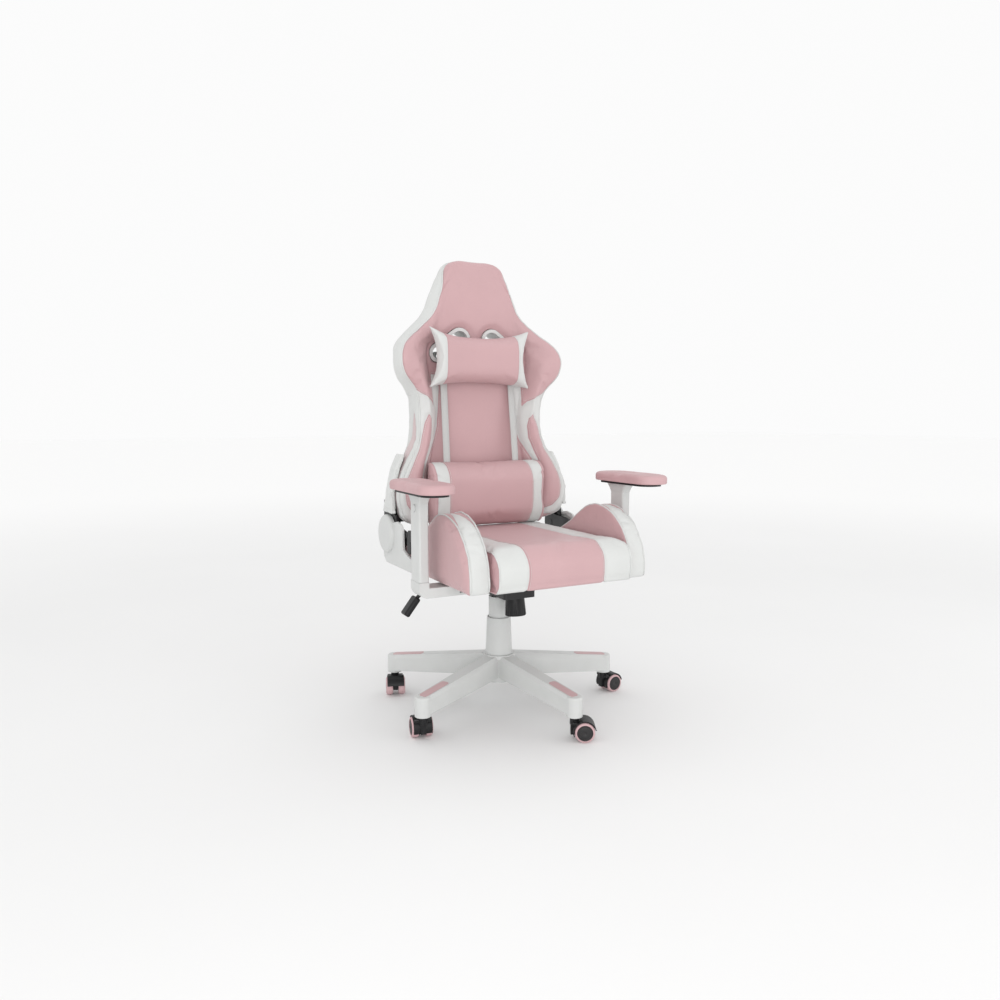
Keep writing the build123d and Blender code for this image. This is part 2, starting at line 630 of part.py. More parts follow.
# the frame's (x, z) corners above its feet, and each cross tube's (z, half-length)
FRAME_CORNERS = ((HIP_TUBE_X, 580.0), (163.0, 668.0), (163.0, 985.0), (104.0, 1085.0),
                 (66.0, 1172.0))
FRAME_CROSS_TUBES = ((508.0, HIP_TUBE_X), (730.0, 163.0), (892.0, 163.0))
# height, front and rear y, and the x of the inner and outer faces at those two places
HINGE_COVER_STATIONS = (
    (530, 88, 171, (258.7, 238.5), (274, 268)), (540, 88, 171, (258.7, 238.5), (274, 268)),
    (590, 92, 170, (262.5, 238.5), (277, 260)), (650, 100, 167, (242.4, 229.8), (258, 248)),
    (690, 106, 163, (223.7, 218.6), (238, 233)))
FOAM_JOINTS_Z = (720.0, 860.0, 1075.0)
FOAM_JOINT_GAP = 0.2
BOLSTER_TOP = 12                      # the bolsters end at the station after this many


def back_section(z, front_w, rear_w, centre_w, front_y):
    """A horizontal slice of the back: flat centre between two forward wings."""
    centre_y = max(BACK_FRONT_Y, front_y + 5.0)
    depth = centre_y - front_y
    span = front_w - centre_w
    half = [(centre_w, centre_y), (front_w - 0.52 * span, front_y + 0.16 * depth),
            (front_w - 0.14 * span, front_y), (front_w, front_y + 0.22 * (SIDE_Y - front_y)),
            (rear_w, SIDE_Y), (0.93 * rear_w, BACK_REAR_Y - 6.0), (0.84 * rear_w, BACK_REAR_Y)]
    points = [(x, y, z) for x, y in half] + [(-x, y, z) for x, y in reversed(half)]
    return make_face(Polyline(points, close=True))


def slot_outline(inset):
    """The kidney outline of one strap slot, drawn in (x, z) on the +X side."""
    (x0, z0, r0), (x1, z1, r1) = SLOT_TOP, SLOT_LOW
    lobes = [Pos(x0, z0) * Circle(r0 - inset), Pos(x1, z1) * Circle(r1 - inset)]
    return make_face(make_hull(lobes[0].edges() + lobes[1].edges()))


def slot_prism(inset, y0, y1):
    face = Plane.XZ * slot_outline(inset)
    return Pos(0, y1, 0) * extrude(face, amount=y1 - y0)


def frame_tubes(foot_z, grow):
    """The bent side tubes and cross tubes of the frame, made thicker by grow."""
    half = [(HIP_TUBE_X, foot_z)] + list(FRAME_CORNERS)
    points = half + [(-x, z) for x, z in reversed(half)]
    path = FilletPolyline(*[(x, FRAME_Y, z) for x, z in points], radius=30.0)
    start = Plane(origin=path @ 0, z_dir=path % 0)
    tubes = sweep(start * Circle(FRAME_TUBE_R + grow), path=path)
    for z, half_x in FRAME_CROSS_TUBES:
        tubes = tubes + along_x(FRAME_TUBE_R - 1.0 + grow, -half_x, half_x, FRAME_Y, z)
    return tubes


def back_frame():
    """Two bent side tubes that meet over the head, with three cross tubes."""
    return frame_tubes(498.0, 0.0)


def back_frame_room():
    """The hollow in the foam: the frame and its spacers with a small clearance all round."""
    room = frame_tubes(470.0, GAP)
    for z in SPACER_Z:
        for side in (-1, 1):
            room = room + along_x(8.0 + GAP, side * HIP_TUBE_X, side * 290.0, FRAME_Y, z)
    return room


def bolster_joint():
    """The thin gap between the centre foam and the +X bolster, up to the shoulder."""
    line = [(station[3], station[0]) for station in BACK_STATIONS[:BOLSTER_TOP + 1]]
    line = [(line[0][0], BACK_STATIONS[0][0] - 1.0)] + line
    face = make_face(Polyline(line + [(x + FOAM_JOINT_GAP, z) for x, z in reversed(line)],
                              close=True))
    return Pos(0, 300, 0) * extrude(Plane.XZ * face, amount=300)


def back_cushion():
    """The back's foam, moulded in blocks that almost touch at the foam joints."""
    shape = loft([back_section(*station) for station in BACK_STATIONS], ruled=True)
    slot = slot_prism(-0.2, 0, 300)
    shape = shape - slot - mirrored(slot) - back_frame_room()
    shape = shape - bolster_joint() - mirrored(bolster_joint())
    for z in FOAM_JOINTS_Z:
        shape = shape - block(-300, 300, 0, 300, z - FOAM_JOINT_GAP / 2, z + FOAM_JOINT_GAP / 2)
    return shape


def slot_bezels():
    """The plastic liners of the two strap slots, flush with the front and the rear."""
    ring = slot_prism(0.0, BACK_FRONT_Y - 2.5, BACK_REAR_Y + 2.5)
    ring = ring - slot_prism(BEZEL_W, 0, 300)
    return both_sides(ring)


def hinge_upper_cover():
    """The padded cover over the upper hinge arm on the +X side, along the back's flank."""
    sections = []
    for z, front_y, rear_y, inner_xs, outer_xs in HINGE_COVER_STATIONS:
        corners = [(inner_xs[0], front_y, z), (inner_xs[1], rear_y, z),
                   (outer_xs[1], rear_y, z), (outer_xs[0], front_y, z)]
        sections.append(make_face(Polyline(corners, close=True)))
    outer = loft(sections, ruled=True)
    plate_room = block(200, UPPER_PLATE_X + HINGE_PLATE_T + GAP, 80, 200, 500, 566)
    return fillet(outer.edges().group_by(Axis.Z)[-1], 5.0) - plate_room


def lumbar_strap():
    """One elastic strap on the +X side: up the front, through the slot, down the rear."""
    x0, x1 = STRAP_X - 10.0, STRAP_X + 10.0
    y0 = STRAP_Y - STRAP_T / 2
    rear = BACK_REAR_Y + 4.0
    front = block(x0, x1, y0, y0 + STRAP_T, 495.0, 967.0)
    through = block(x0, x1, y0, rear + STRAP_T, 965.0, 967.0)
    behind = block(x0, x1, rear, rear + STRAP_T, 560.0, 967.0)
    return front + through + behind


# ---- pillows ---------------------------------------------------------------------------
HEAD_PILLOW_X = -10.0                         # it hangs a little to the sitter's right
HEAD_PILLOW_CORNER = (146.0, 1032.0, 862.0)   # x, and the top and bottom corners' z
HEAD_PILLOW_DIPS = (42.0, 32.0, 18.0)         # how far the top, bottom and end edges bow in
HEAD_PILLOW_REAR_Y = 122.0
HEAD_PILLOW_T = 62.0


def head_pillow():
    """A bow-tie pillow: pinched corners and a waist along its top and bottom edges."""
    x, top_z, low_z = HEAD_PILLOW_CORNER
    top_dip, low_dip, waist = HEAD_PILLOW_DIPS
    mid_z = (top_z + low_z) / 2
    top = ThreePointArc((-x, top_z), (0, top_z - top_dip), (x, top_z))
    low = ThreePointArc((x, low_z), (0, low_z + low_dip), (-x, low_z))
    right = ThreePointArc((x, top_z), (x - waist, mid_z), (x, low_z))
    left = ThreePointArc((-x, low_z), (waist - x, mid_z), (-x, top_z))
    face = Plane.XZ * make_face(Wire([top, right, low, left]))
    body = Pos(HEAD_PILLOW_X, HEAD_PILLOW_REAR_Y, 0) * extrude(face, amount=HEAD_PILLOW_T)
    front = body.faces().sort_by(Axis.Y)[0]
    body = fillet(front.edges(), 24.0)
    for side in (-1, 1):
        slope = Polyline((side * 128, 123, 800), (side * 165, 86, 800), (side * 200, 86, 800),
                         (side * 200, 123, 800), close=True)
        body = body - extrude(make_face(slope), amount=300, dir=(0, 0, 1))
    return body


def head_strap():
    """The pillow's elastic: down its rear, back through both slots, joined behind."""
    y0 = STRAP_Y - STRAP_T / 2
    rear = BACK_REAR_Y + 4.0
    strap = block(-61.0, 61.0, rear, rear + STRAP_T, 984.0, 1001.0)
    for side in (-1, 1):
        x0, x1 = sorted((side * 39.0, side * 61.0))
        strap = strap + block(x0, x1, HEAD_PILLOW_REAR_Y, y0, 930.0, 950.0)
        strap = strap + block(x0, x1, y0, y0 + STRAP_T, 930.0, 1001.0)
        strap = strap + block(x0, x1, y0, rear + STRAP_T, 999.0, 1001.0)
    return strap


def lumbar_pillow():
    """A round-fronted bolster that rests on the seat against the straps."""
    body = block(-172, 172, 38.0, 130.5, 487.5, 667.0)
    long_edges = body.edges().filter_by(Axis.X)
    body = fillet(long_edges.group_by(Axis.Y)[0], 44.0)
    long_edges = body.edges().filter_by(Axis.X).group_by(Axis.Y)[-1]
    body = fillet(long_edges, 30.0)
    for side in (-1, 1):
        corner = Polyline((side * 127.0, 131.0, 400), (side * 172.5, 85.5, 400),
                          (side * 200.0, 85.5, 400), (side * 200.0, 131.0, 400), close=True)
        body = body - extrude(make_face(corner), amount=400.0, dir=(0, 0, 1))
    return body


# ---- write every node ------------------------------------------------------------------
save(star_base(), "star_base")
save(leg_inserts(), "leg_inserts")
save(caster_stems(), "caster_stems")
write_casters()
save(lift_outer_tube(), "lift_outer_tube")
save(lift_bearings(), "lift_bearings")
save(lift_cover_lower(), "lift_cover_lower")
save(piston_rod(), "piston_rod")
save(gas_cylinder(), "gas_cylinder")
save(lift_cover_upper(), "lift_cover_upper")
save(release_pin(), "release_pin")
save(mechanism_housing(), "mechanism_housing")
save(tilt_pin(), "tilt_pin")
save(tension_knob(), "tension_knob")
save(tension_spring(), "tension_spring")
save(lever_rocker(), "lever_rocker")
save(height_lever(), "height_lever")
save(height_lever_grip(), "height_lever_grip")

save(tilt_plate(), "tilt_plate")
save(seat_frame(), "seat_frame")
save(seat_bolts(), "seat_bolts")
save(seat_cushion(), "seat_cushion")
save(mirrored(seat_wing()), "seat_wing_right")
save(seat_wing(), "seat_wing_left")

ARM_PARTS = {"arm_bracket": arm_bracket, "arm_sleeve": arm_sleeve, "arm_button": arm_button,
             "arm_pad_base": arm_pad_base, "arm_pad": arm_pad}
for part_name, make_part in ARM_PARTS.items():
    save(make_part(), part_name + "_left")
    save(mirrored(make_part()), part_name + "_right")

save(both_sides(hinge_lower_plate()), "hinge_lower_plates")
save(both_sides(hinge_upper_plate()), "hinge_upper_plates")
save(both_sides(recliner_cover()), "recliner_covers")
save(recline_lever(), "recline_lever")
save(both_sides(hinge_upper_cover()), "hinge_upper_covers")

save(back_frame(), "back_frame")
save(back_cushion(), "back_cushion")
save(slot_bezels(), "slot_bezels")
save(both_sides(lumbar_strap()), "lumbar_straps")
save(head_pillow(), "head_pillow")
save(head_strap(), "head_strap")
save(lumbar_pillow(), "lumbar_pillow")
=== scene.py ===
from collections import defaultdict
from math import cos, pi, radians, sin

import bpy
import numpy as np
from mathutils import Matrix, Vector, noise
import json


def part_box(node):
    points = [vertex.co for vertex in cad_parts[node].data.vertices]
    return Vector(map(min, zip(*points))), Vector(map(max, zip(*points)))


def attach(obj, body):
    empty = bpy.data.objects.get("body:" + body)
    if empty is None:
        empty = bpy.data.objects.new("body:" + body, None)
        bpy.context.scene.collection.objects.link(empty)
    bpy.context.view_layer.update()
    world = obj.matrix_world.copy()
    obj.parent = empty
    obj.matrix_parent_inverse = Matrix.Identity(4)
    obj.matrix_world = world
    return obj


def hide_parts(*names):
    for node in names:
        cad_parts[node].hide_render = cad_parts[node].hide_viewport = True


# The looks of a winged gaming chair: upholstery, straps, wheels and every material.
# Lengths are in millimetres until new_object() makes the mesh, which is in metres.
# The chair faces -Y, and the sitter's left hand is on the +X side.

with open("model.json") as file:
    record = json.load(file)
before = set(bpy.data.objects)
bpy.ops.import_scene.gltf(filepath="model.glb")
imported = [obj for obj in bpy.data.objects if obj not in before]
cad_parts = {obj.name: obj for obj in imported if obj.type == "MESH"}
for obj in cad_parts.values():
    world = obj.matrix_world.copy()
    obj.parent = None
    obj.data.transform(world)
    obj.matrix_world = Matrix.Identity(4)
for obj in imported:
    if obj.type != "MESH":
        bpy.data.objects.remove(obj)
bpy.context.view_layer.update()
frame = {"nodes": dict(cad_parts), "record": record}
MM = 0.001

# ---- colours, linear ----
PINK = (0.565, 0.362, 0.374)
# Painted shade for the pink cloth in its seam grooves:
PINK_SEAM_SHADE = (0.47, 0.265, 0.283)
WHITE = (0.645, 0.655, 0.642)
PLASTIC_WHITE = (0.62, 0.63, 0.62)
# Below: the white cover plastic's own colour, also used as painted shade for the white cloth in
# its seam grooves.
WHITE_GREY = (0.62, 0.63, 0.62)
THREAD_PINK = (0.66, 0.38, 0.40)
THREAD_WHITE = (0.74, 0.74, 0.72)
BLACK = (0.011, 0.011, 0.012)
RUBBED_BLACK = (0.10, 0.10, 0.10)
DARK_GREY = (0.030, 0.029, 0.030)
STEEL = (0.56, 0.57, 0.58)
TREAD_PINK = (0.60, 0.40, 0.415)
BEZEL_WHITE = (0.66, 0.67, 0.66)
FLOOR_NEAR = ((0.84, 0.84, 0.838), (0.86, 0.86, 0.858))
FLOOR_FAR = (0.99, 0.99, 0.988)


# ---- mesh helpers ----
def new_object(name, points, faces):
    mesh = bpy.data.meshes.new(name)
    mesh.from_pydata([tuple(p) for p in np.asarray(points, float) * MM], [], faces)
    obj = bpy.data.objects.new(name, mesh)
    bpy.context.scene.collection.objects.link(obj)
    return obj


def triples(items, field, kind=np.float32):
    """A field of three values read from every item, one row for each."""
    values = np.zeros(len(items) * 3, kind)
    items.foreach_get(field, values)
    return values.reshape(-1, 3)


def coords(obj):
    """The object's vertices in millimetres."""
    return triples(obj.data.vertices, "co").astype(float) / MM


def set_coords(obj, co):
    obj.data.vertices.foreach_set("co", (co * MM).astype(np.float32).ravel())
    obj.data.update()


def normals(obj):
    return triples(obj.data.vertices, "normal").astype(float)


def triangles(obj):
    obj.data.calc_loop_triangles()
    return triples(obj.data.loop_triangles, "vertices", np.int32)


def write_attribute(obj, name, values):
    kind = "FLOAT" if values.ndim == 1 else "FLOAT_VECTOR"
    attribute = obj.data.attributes.get(name) or obj.data.attributes.new(name, kind, "POINT")
    field = "value" if values.ndim == 1 else "vector"
    attribute.data.foreach_set(field, values.astype(np.float32).ravel())


def bake_modifiers(obj):
    """Replaces the mesh by what its modifiers make of it."""
    graph = bpy.context.evaluated_depsgraph_get()
    mesh = bpy.data.meshes.new_from_object(obj.evaluated_get(graph), depsgraph=graph,
                                           preserve_all_data_layers=True)
    obj.modifiers.clear()
    old = obj.data
    obj.data = mesh
    bpy.data.meshes.remove(old)


def shade_smooth(obj):
    obj.data.polygons.foreach_set("use_smooth", [True] * len(obj.data.polygons))
    obj.data.update()


def copy_of_node(name, node):
    """A new object with a CAD node's mesh, to be remeshed into a soft piece."""
    source = frame["nodes"][node].data
    points = np.array([v.co for v in source.vertices]) / MM
    return new_object(name, points, [tuple(p.vertices) for p in source.polygons])


def hermite(xs, ys, x):
    """A smooth curve through (xs, ys), read at x."""
    xs, ys = np.asarray(xs, float), np.asarray(ys, float)
    slopes = np.gradient(ys, xs)
    k = np.clip(np.searchsorted(xs, x) - 1, 0, len(xs) - 2)
    h = xs[k + 1] - xs[k]
    t = np.clip((x - xs[k]) / h, 0, 1)
    a, b = 2 * t**3 - 3 * t**2 + 1, t**3 - 2 * t**2 + t
    c, d = -2 * t**3 + 3 * t**2, t**3 - t**2
    return a * ys[k] + b * h * slopes[k] + c * ys[k + 1] + d * h * slopes[k + 1]


def chaikin(points, closed, passes=2):
    """Cuts a polyline's corners a quarter of the way along each side."""
    points = np.asarray(points, float)
    for _ in range(passes):
        ahead = np.roll(points, -1, axis=0)
        pairs = np.stack([0.75 * points + 0.25 * ahead, 0.25 * points + 0.75 * ahead], axis=1)
        if closed:
            points = pairs.reshape(-1, points.shape[1])
        else:
            inner = pairs[:-1].reshape(-1, points.shape[1])
            points = np.vstack([points[:1], inner, points[-1:]])
    return points


def rings_to_faces(rings, around, closed_ends=True, wrap=False):
    """Quads between successive rings of equal length, with optional end caps."""
    faces = []
    last = rings if wrap else rings - 1
    for r in range(last):
        s = (r + 1) % rings
        for k in range(around):
            m = (k + 1) % around
            faces.append((r * around + k, r * around + m, s * around + m, s * around + k))
    if closed_ends and not wrap:
        faces.append(tuple(reversed(range(around))))
        faces.append(tuple(range((rings - 1) * around, rings * around)))
    return faces


def step(edge0, edge1, x):
    t = np.clip((x - edge0) / (edge1 - edge0), 0, 1)
    return t * t * (3 - 2 * t)


def polygon_distance(u, v, corners):
    """Signed distance to a closed outline in the (u, v) plane, positive inside."""
    corners = np.asarray(corners, float)
    best = np.full(len(u), 1e9)
    inside = np.zeros(len(u), bool)
    for (u0, v0), (u1, v1) in zip(corners, np.roll(corners, -1, axis=0)):
        du, dv = u1 - u0, v1 - v0
        t = np.clip(((u - u0) * du + (v - v0) * dv) / (du * du + dv * dv), 0, 1)
        best = np.minimum(best, np.hypot(u - u0 - t * du, v - v0 - t * dv))
        crosses = (v0 > v) != (v1 > v)
        with np.errstate(divide="ignore", invalid="ignore"):
            inside ^= crosses & (u < (v - v0) / (v1 - v0) * du + u0)
    return np.where(inside, best, -best)


# ---- node materials ----
def start_material(name):
    material = bpy.data.materials.new(name)
    material.use_nodes = True
    tree = material.node_tree
    return material, tree, tree.nodes["Principled BSDF"]


def node(tree, kind, **settings):
    """A shader node with its properties and unlinked inputs set."""
    made = tree.nodes.new(kind)
    for key, value in settings.items():
        if hasattr(made, key):
            setattr(made, key, value)
        else:
            made.inputs[key.replace("_", " ")].default_value = value
    return made


def object_point(tree):
    return tree.nodes.new("ShaderNodeTexCoord").outputs["Object"]


def texture(tree, kind, **settings):
    """A texture node in the object's own space."""
    made = node(tree, kind, **settings)
    tree.links.new(object_point(tree), made.inputs["Vector"])
    return made


def noise_value(tree, scale, detail=2.0, rough=0.5):
    made = texture(tree, "ShaderNodeTexNoise", Scale=scale, Detail=detail, Roughness=rough)
    return made.outputs["Fac"]


def remap(tree, source, low, high, to_low=0.0, to_high=1.0, smooth=False):
    made = node(tree, "ShaderNodeMapRange")
    made.interpolation_type = "SMOOTHSTEP" if smooth else "LINEAR"
    for key, value in (("From Min", low), ("From Max", high),
                       ("To Min", to_low), ("To Max", to_high)):
        made.inputs[key].default_value = value
    tree.links.new(source, made.inputs["Value"])
    return made.outputs["Result"]


def mix_colour(tree, share, first, second):
    """Mixes two colours, each a socket or a plain colour, by a socket's value."""
    made = tree.nodes.new("ShaderNodeMix")
    made.data_type = "RGBA"
    tree.links.new(share, made.inputs["Factor"])
    for key, value in (("A", first), ("B", second)):
        socket = next(s for s in made.inputs if s.name == key and s.type == "RGBA")
        if isinstance(value, tuple):
            socket.default_value = (*value, 1.0)
        else:
            tree.links.new(value, socket)
    return next(s for s in made.outputs if s.type == "RGBA")


def maths(tree, operation, first, second):
    made = node(tree, "ShaderNodeMath", operation=operation)
    for slot_index, value in enumerate((first, second)):
        if isinstance(value, (int, float)):
            made.inputs[slot_index].default_value = value
        else:
            tree.links.new(value, made.inputs[slot_index])
    return made.outputs[0]


def bump(tree, heights, shader, before=None):
    """Chains bumps, each a (height socket, distance in metres, strength), into the shader,
    on top of the normal socket given as before."""
    for height, distance, strength in heights:
        made = node(tree, "ShaderNodeBump", Strength=strength, Distance=distance)
        tree.links.new(height, made.inputs["Height"])
        if before is not None:
            tree.links.new(before, made.inputs["Normal"])
        before = made.outputs["Normal"]
    tree.links.new(before, shader.inputs["Normal"])


def edge_mask(tree, radius):
    """High along sharp edges: where a bevelled normal leaves the true one."""
    bevel = node(tree, "ShaderNodeBevel", samples=4, Radius=radius)
    geometry = tree.nodes.new("ShaderNodeNewGeometry")
    dot = node(tree, "ShaderNodeVectorMath", operation="DOT_PRODUCT")
    tree.links.new(bevel.outputs["Normal"], dot.inputs[0])
    tree.links.new(geometry.outputs["Normal"], dot.inputs[1])
    return bevel, remap(tree, dot.outputs["Value"], 0.995, 0.80)


def paint(tree, shader, share, first, second):
    """Colours the shader with a mix of two colours, by a socket's value."""
    tree.links.new(mix_colour(tree, share, first, second), shader.inputs["Base Color"])


def darker(colour, share):
    return tuple(c * share for c in colour)


def leather_grain(tree):
    """Pebble cells about 1.3 mm across, as on coated upholstery."""
    cells = texture(tree, "ShaderNodeTexVoronoi", Scale=760.0, Randomness=1.0)
    cells.feature = "DISTANCE_TO_EDGE"
    return remap(tree, cells.outputs["Distance"], 0.0, 0.28, smooth=True)


def leatherette():
    """Pink and white coated cloth in one material; the piece's "pink" field tells them apart,
    and its "seam" field puckers the cloth beside each seam and darkens it there with painted
    shade."""
    material, tree, shader = start_material("leatherette")
    field = node(tree, "ShaderNodeAttribute", attribute_name="pink")
    seam = node(tree, "ShaderNodeAttribute", attribute_name="seam")
    is_pink = remap(tree, field.outputs["Fac"], -0.5, 0.5)
    clouds = noise_value(tree, 9.0, 3.0)
    mottle = noise_value(tree, 260.0, 2.0)
    tint = maths(tree, "ADD", maths(tree, "MULTIPLY", clouds, 0.7),
                 maths(tree, "MULTIPLY", mottle, 0.3))
    share = remap(tree, tint, 0.35, 0.65)
    pink = mix_colour(tree, share, darker(PINK, 0.955), PINK)
    white = mix_colour(tree, share, darker(WHITE, 0.965), WHITE)
    colour = mix_colour(tree, is_pink, white, pink)
    # Painted shade: beside each seam the cloth's colour is mixed up to 75 % towards these darker
    # colours, for the shade in the groove.
    shade = mix_colour(tree, is_pink, WHITE_GREY, PINK_SEAM_SHADE)
    seam_shade = remap(tree, seam.outputs["Fac"], 0.35, 1.0, 0.0, 0.75, smooth=True)
    paint(tree, shader, seam_shade, colour, shade)
    grain = leather_grain(tree)
    rough = maths(tree, "SUBTRACT", remap(tree, clouds, 0.3, 0.7, 0.50, 0.42),
                  maths(tree, "MULTIPLY", grain, 0.05))
    tree.links.new(rough, shader.inputs["Roughness"])
    pucker = maths(tree, "MULTIPLY", noise_value(tree, 120.0, 1.0), seam.outputs["Fac"])
    bump(tree, [(grain, 0.0001, 0.55), (noise_value(tree, 45.0, 2.0), 0.0006, 0.30),
                (pucker, 0.0018, 0.8)], shader)
    shader.inputs["Specular IOR Level"].default_value = 0.42
    shader.inputs["Sheen Weight"].default_value = 0.12
    shader.inputs["Sheen Roughness"].default_value = 0.45
    return material


def piping_leather(name, colour):
    """The narrow covered cord along a seam."""
    material, tree, shader = start_material(name)
    clouds = remap(tree, noise_value(tree, 30.0), 0.35, 0.65)
    paint(tree, shader, clouds, darker(colour, 0.92), colour)
    shader.inputs["Roughness"].default_value = 0.46
    bump(tree, [(leather_grain(tree), 0.0001, 0.5), (noise_value(tree, 160.0), 0.0006, 0.4)],
         shader)
    return material


def thread(name, colour):
    material, tree, shader = start_material(name)
    plies = texture(tree, "ShaderNodeTexWave", Scale=900.0, Distortion=1.0)
    paint(tree, shader, plies.outputs["Fac"], darker(colour, 0.8), colour)
    shader.inputs["Roughness"].default_value = 0.6
    bump(tree, [(plies.outputs["Fac"], 0.0002, 0.6)], shader)
    return material


def moulded(name, colour, rough, grain=0.35, wear=1.12, edge_r=0.0012, specular=0.5):
    """Moulded plastic: spark-eroded texture, faint flow marks, softened and rubbed edges."""
    material, tree, shader = start_material(name)
    flow = remap(tree, noise_value(tree, 14.0, 3.0), 0.3, 0.7)
    body = mix_colour(tree, flow, darker(colour, 0.94), colour)
    bevel, edge = edge_mask(tree, edge_r)
    rubbed = tuple(min(1.0, c * wear + 0.01) for c in colour)
    scuffs = maths(tree, "MULTIPLY", edge, remap(tree, noise_value(tree, 180.0, 3.0),
                                                 0.4, 0.6, 0.3, 1.0))
    paint(tree, shader, scuffs, body, rubbed)
    smudge = remap(tree, noise_value(tree, 22.0, 4.0, 0.6), 0.35, 0.65, -0.05, 0.05)
    tree.links.new(maths(tree, "ADD", smudge, rough), shader.inputs["Roughness"])
    bump(tree, [(noise_value(tree, 1600.0, 2.0, 0.6), 0.00012, grain)], shader,
         bevel.outputs["Normal"])
    shader.inputs["Specular IOR Level"].default_value = specular
    return material


def powder_coat(name, colour):
    """Black powder-coated steel with its orange-peel skin."""
    material, tree, shader = start_material(name)
    flow = remap(tree, noise_value(tree, 40.0, 3.0), 0.35, 0.65)
    bevel, edge = edge_mask(tree, 0.001)
    body = mix_colour(tree, flow, darker(colour, 0.8), colour)
    paint(tree, shader, maths(tree, "MULTIPLY", edge, 0.5), body, RUBBED_BLACK)
    tree.links.new(remap(tree, flow, 0.0, 1.0, 0.36, 0.48), shader.inputs["Roughness"])
    bump(tree, [(noise_value(tree, 700.0, 1.0), 0.0003, 0.4)], shader, bevel.outputs["Normal"])
    return material


def bright_steel():
    """Turned and ground steel with fine marks round the part."""
    material, tree, shader = start_material("bright_steel_ground")
    marks = node(tree, "ShaderNodeTexNoise", Scale=60.0, Detail=4.0)
    stretch = node(tree, "ShaderNodeMapping")
    stretch.inputs["Scale"].default_value = (1.0, 1.0, 40.0)
    tree.links.new(object_point(tree), stretch.inputs["Vector"])
    tree.links.new(stretch.outputs["Vector"], marks.inputs["Vector"])
    share = remap(tree, marks.outputs["Fac"], 0.35, 0.65)
    paint(tree, shader, share, darker(STEEL, 0.85), STEEL)
    tree.links.new(remap(tree, share, 0.0, 1.0, 0.22, 0.36), shader.inputs["Roughness"])
    shader.inputs["Metallic"].default_value = 1.0
    bump(tree, [(marks.outputs["Fac"], 0.0001, 0.3)], shader)
    return material


def elastic_webbing(name, colour):
    """Knitted elastic: ribs along the band crossed by fine picks."""
    material, tree, shader = start_material(name)
    ribs = texture(tree, "ShaderNodeTexWave", Scale=200.0, Distortion=0.2)
    ribs.bands_direction = "X"
    picks = texture(tree, "ShaderNodeTexWave", Scale=260.0, Distortion=0.3)
    picks.bands_direction = "Z"
    weave = maths(tree, "MULTIPLY", ribs.outputs["Fac"], picks.outputs["Fac"])
    paint(tree, shader, weave, darker(colour, 0.82), colour)
    shader.inputs["Roughness"].default_value = 0.72
    shader.inputs["Sheen Weight"].default_value = 0.25
    bump(tree, [(weave, 0.0005, 0.7)], shader)
    return material


def soft_armpad(name, colour):
    """Self-skinned foam with a fine hide texture and a slight shine where arms rest."""
    material, tree, shader = start_material(name)
    clouds = remap(tree, noise_value(tree, 16.0, 3.0), 0.35, 0.65)
    paint(tree, shader, clouds, darker(colour, 0.95), colour)
    cells = texture(tree, "ShaderNodeTexVoronoi", Scale=900.0)
    tree.links.new(remap(tree, clouds, 0.0, 1.0, 0.56, 0.46), shader.inputs["Roughness"])
    bump(tree, [(cells.outputs["Distance"], 0.00012, 0.5),
                (noise_value(tree, 50.0), 0.0005, 0.25)], shader)
    return material


def studio_floor():
    material, tree, shader = start_material("studio_floor")
    clouds = remap(tree, noise_value(tree, 0.8, 3.0), 0.3, 0.7)
    near = mix_colour(tree, clouds, *FLOOR_NEAR)
    distance = node(tree, "ShaderNodeVectorMath", operation="LENGTH")
    tree.links.new(object_point(tree), distance.inputs[0])
    share = remap(tree, distance.outputs["Value"], 1.2, 7.0, smooth=True)
    paint(tree, shader, share, near, FLOOR_FAR)
    shader.inputs["Roughness"].default_value = 0.9
    shader.inputs["Specular IOR Level"].default_value = 0.1
    return material


LEATHER = leatherette()
PIPING_WHITE = piping_leather("piping_white", WHITE)
STITCH_PINK = thread("thread_pink", THREAD_PINK)
STITCH_WHITE = thread("thread_white", THREAD_WHITE)
ELASTIC = elastic_webbing("elastic_white", WHITE)
ARMPAD = soft_armpad("armpad_foam", PINK)
TREAD = moulded("tread_rubber", TREAD_PINK, 0.55, grain=0.2)
WHEEL_DISC = moulded("wheel_disc", DARK_GREY, 0.42, wear=1.6, specular=0.3)
CAD_MATERIALS = {
    "white_plastic": moulded("white_plastic_moulded", PLASTIC_WHITE, 0.38, grain=0.25),
    "pink_plastic": moulded("pink_plastic_moulded", PINK, 0.42),
    "black_plastic": moulded("black_plastic_moulded", BLACK, 0.42, wear=2.4, specular=0.3),
    "black_steel": powder_coat("black_steel_coated", BLACK),
    "bright_steel": bright_steel(),
    "wheel": WHEEL_DISC,
    "white_cover": moulded("white_cover_moulded", WHITE_GREY, 0.36, grain=0.2),
    "bezel": moulded("bezel_moulded", BEZEL_WHITE, 0.34),
}


# ---- soft pieces: remesh, puff as cloth, then seams ----
CLOTH_FRAMES = 20
THREAD_R, FINE_PITCH = 0.55, 4.4
PIPING_SPACING = 5.0
NOT_PINK = -9.0                       # a panel field's value where the cover is white
SEWN, NOT_SEWN = 5.0, -1.0            # a keep field's value where a seam runs, and elsewhere
soft_pieces = []


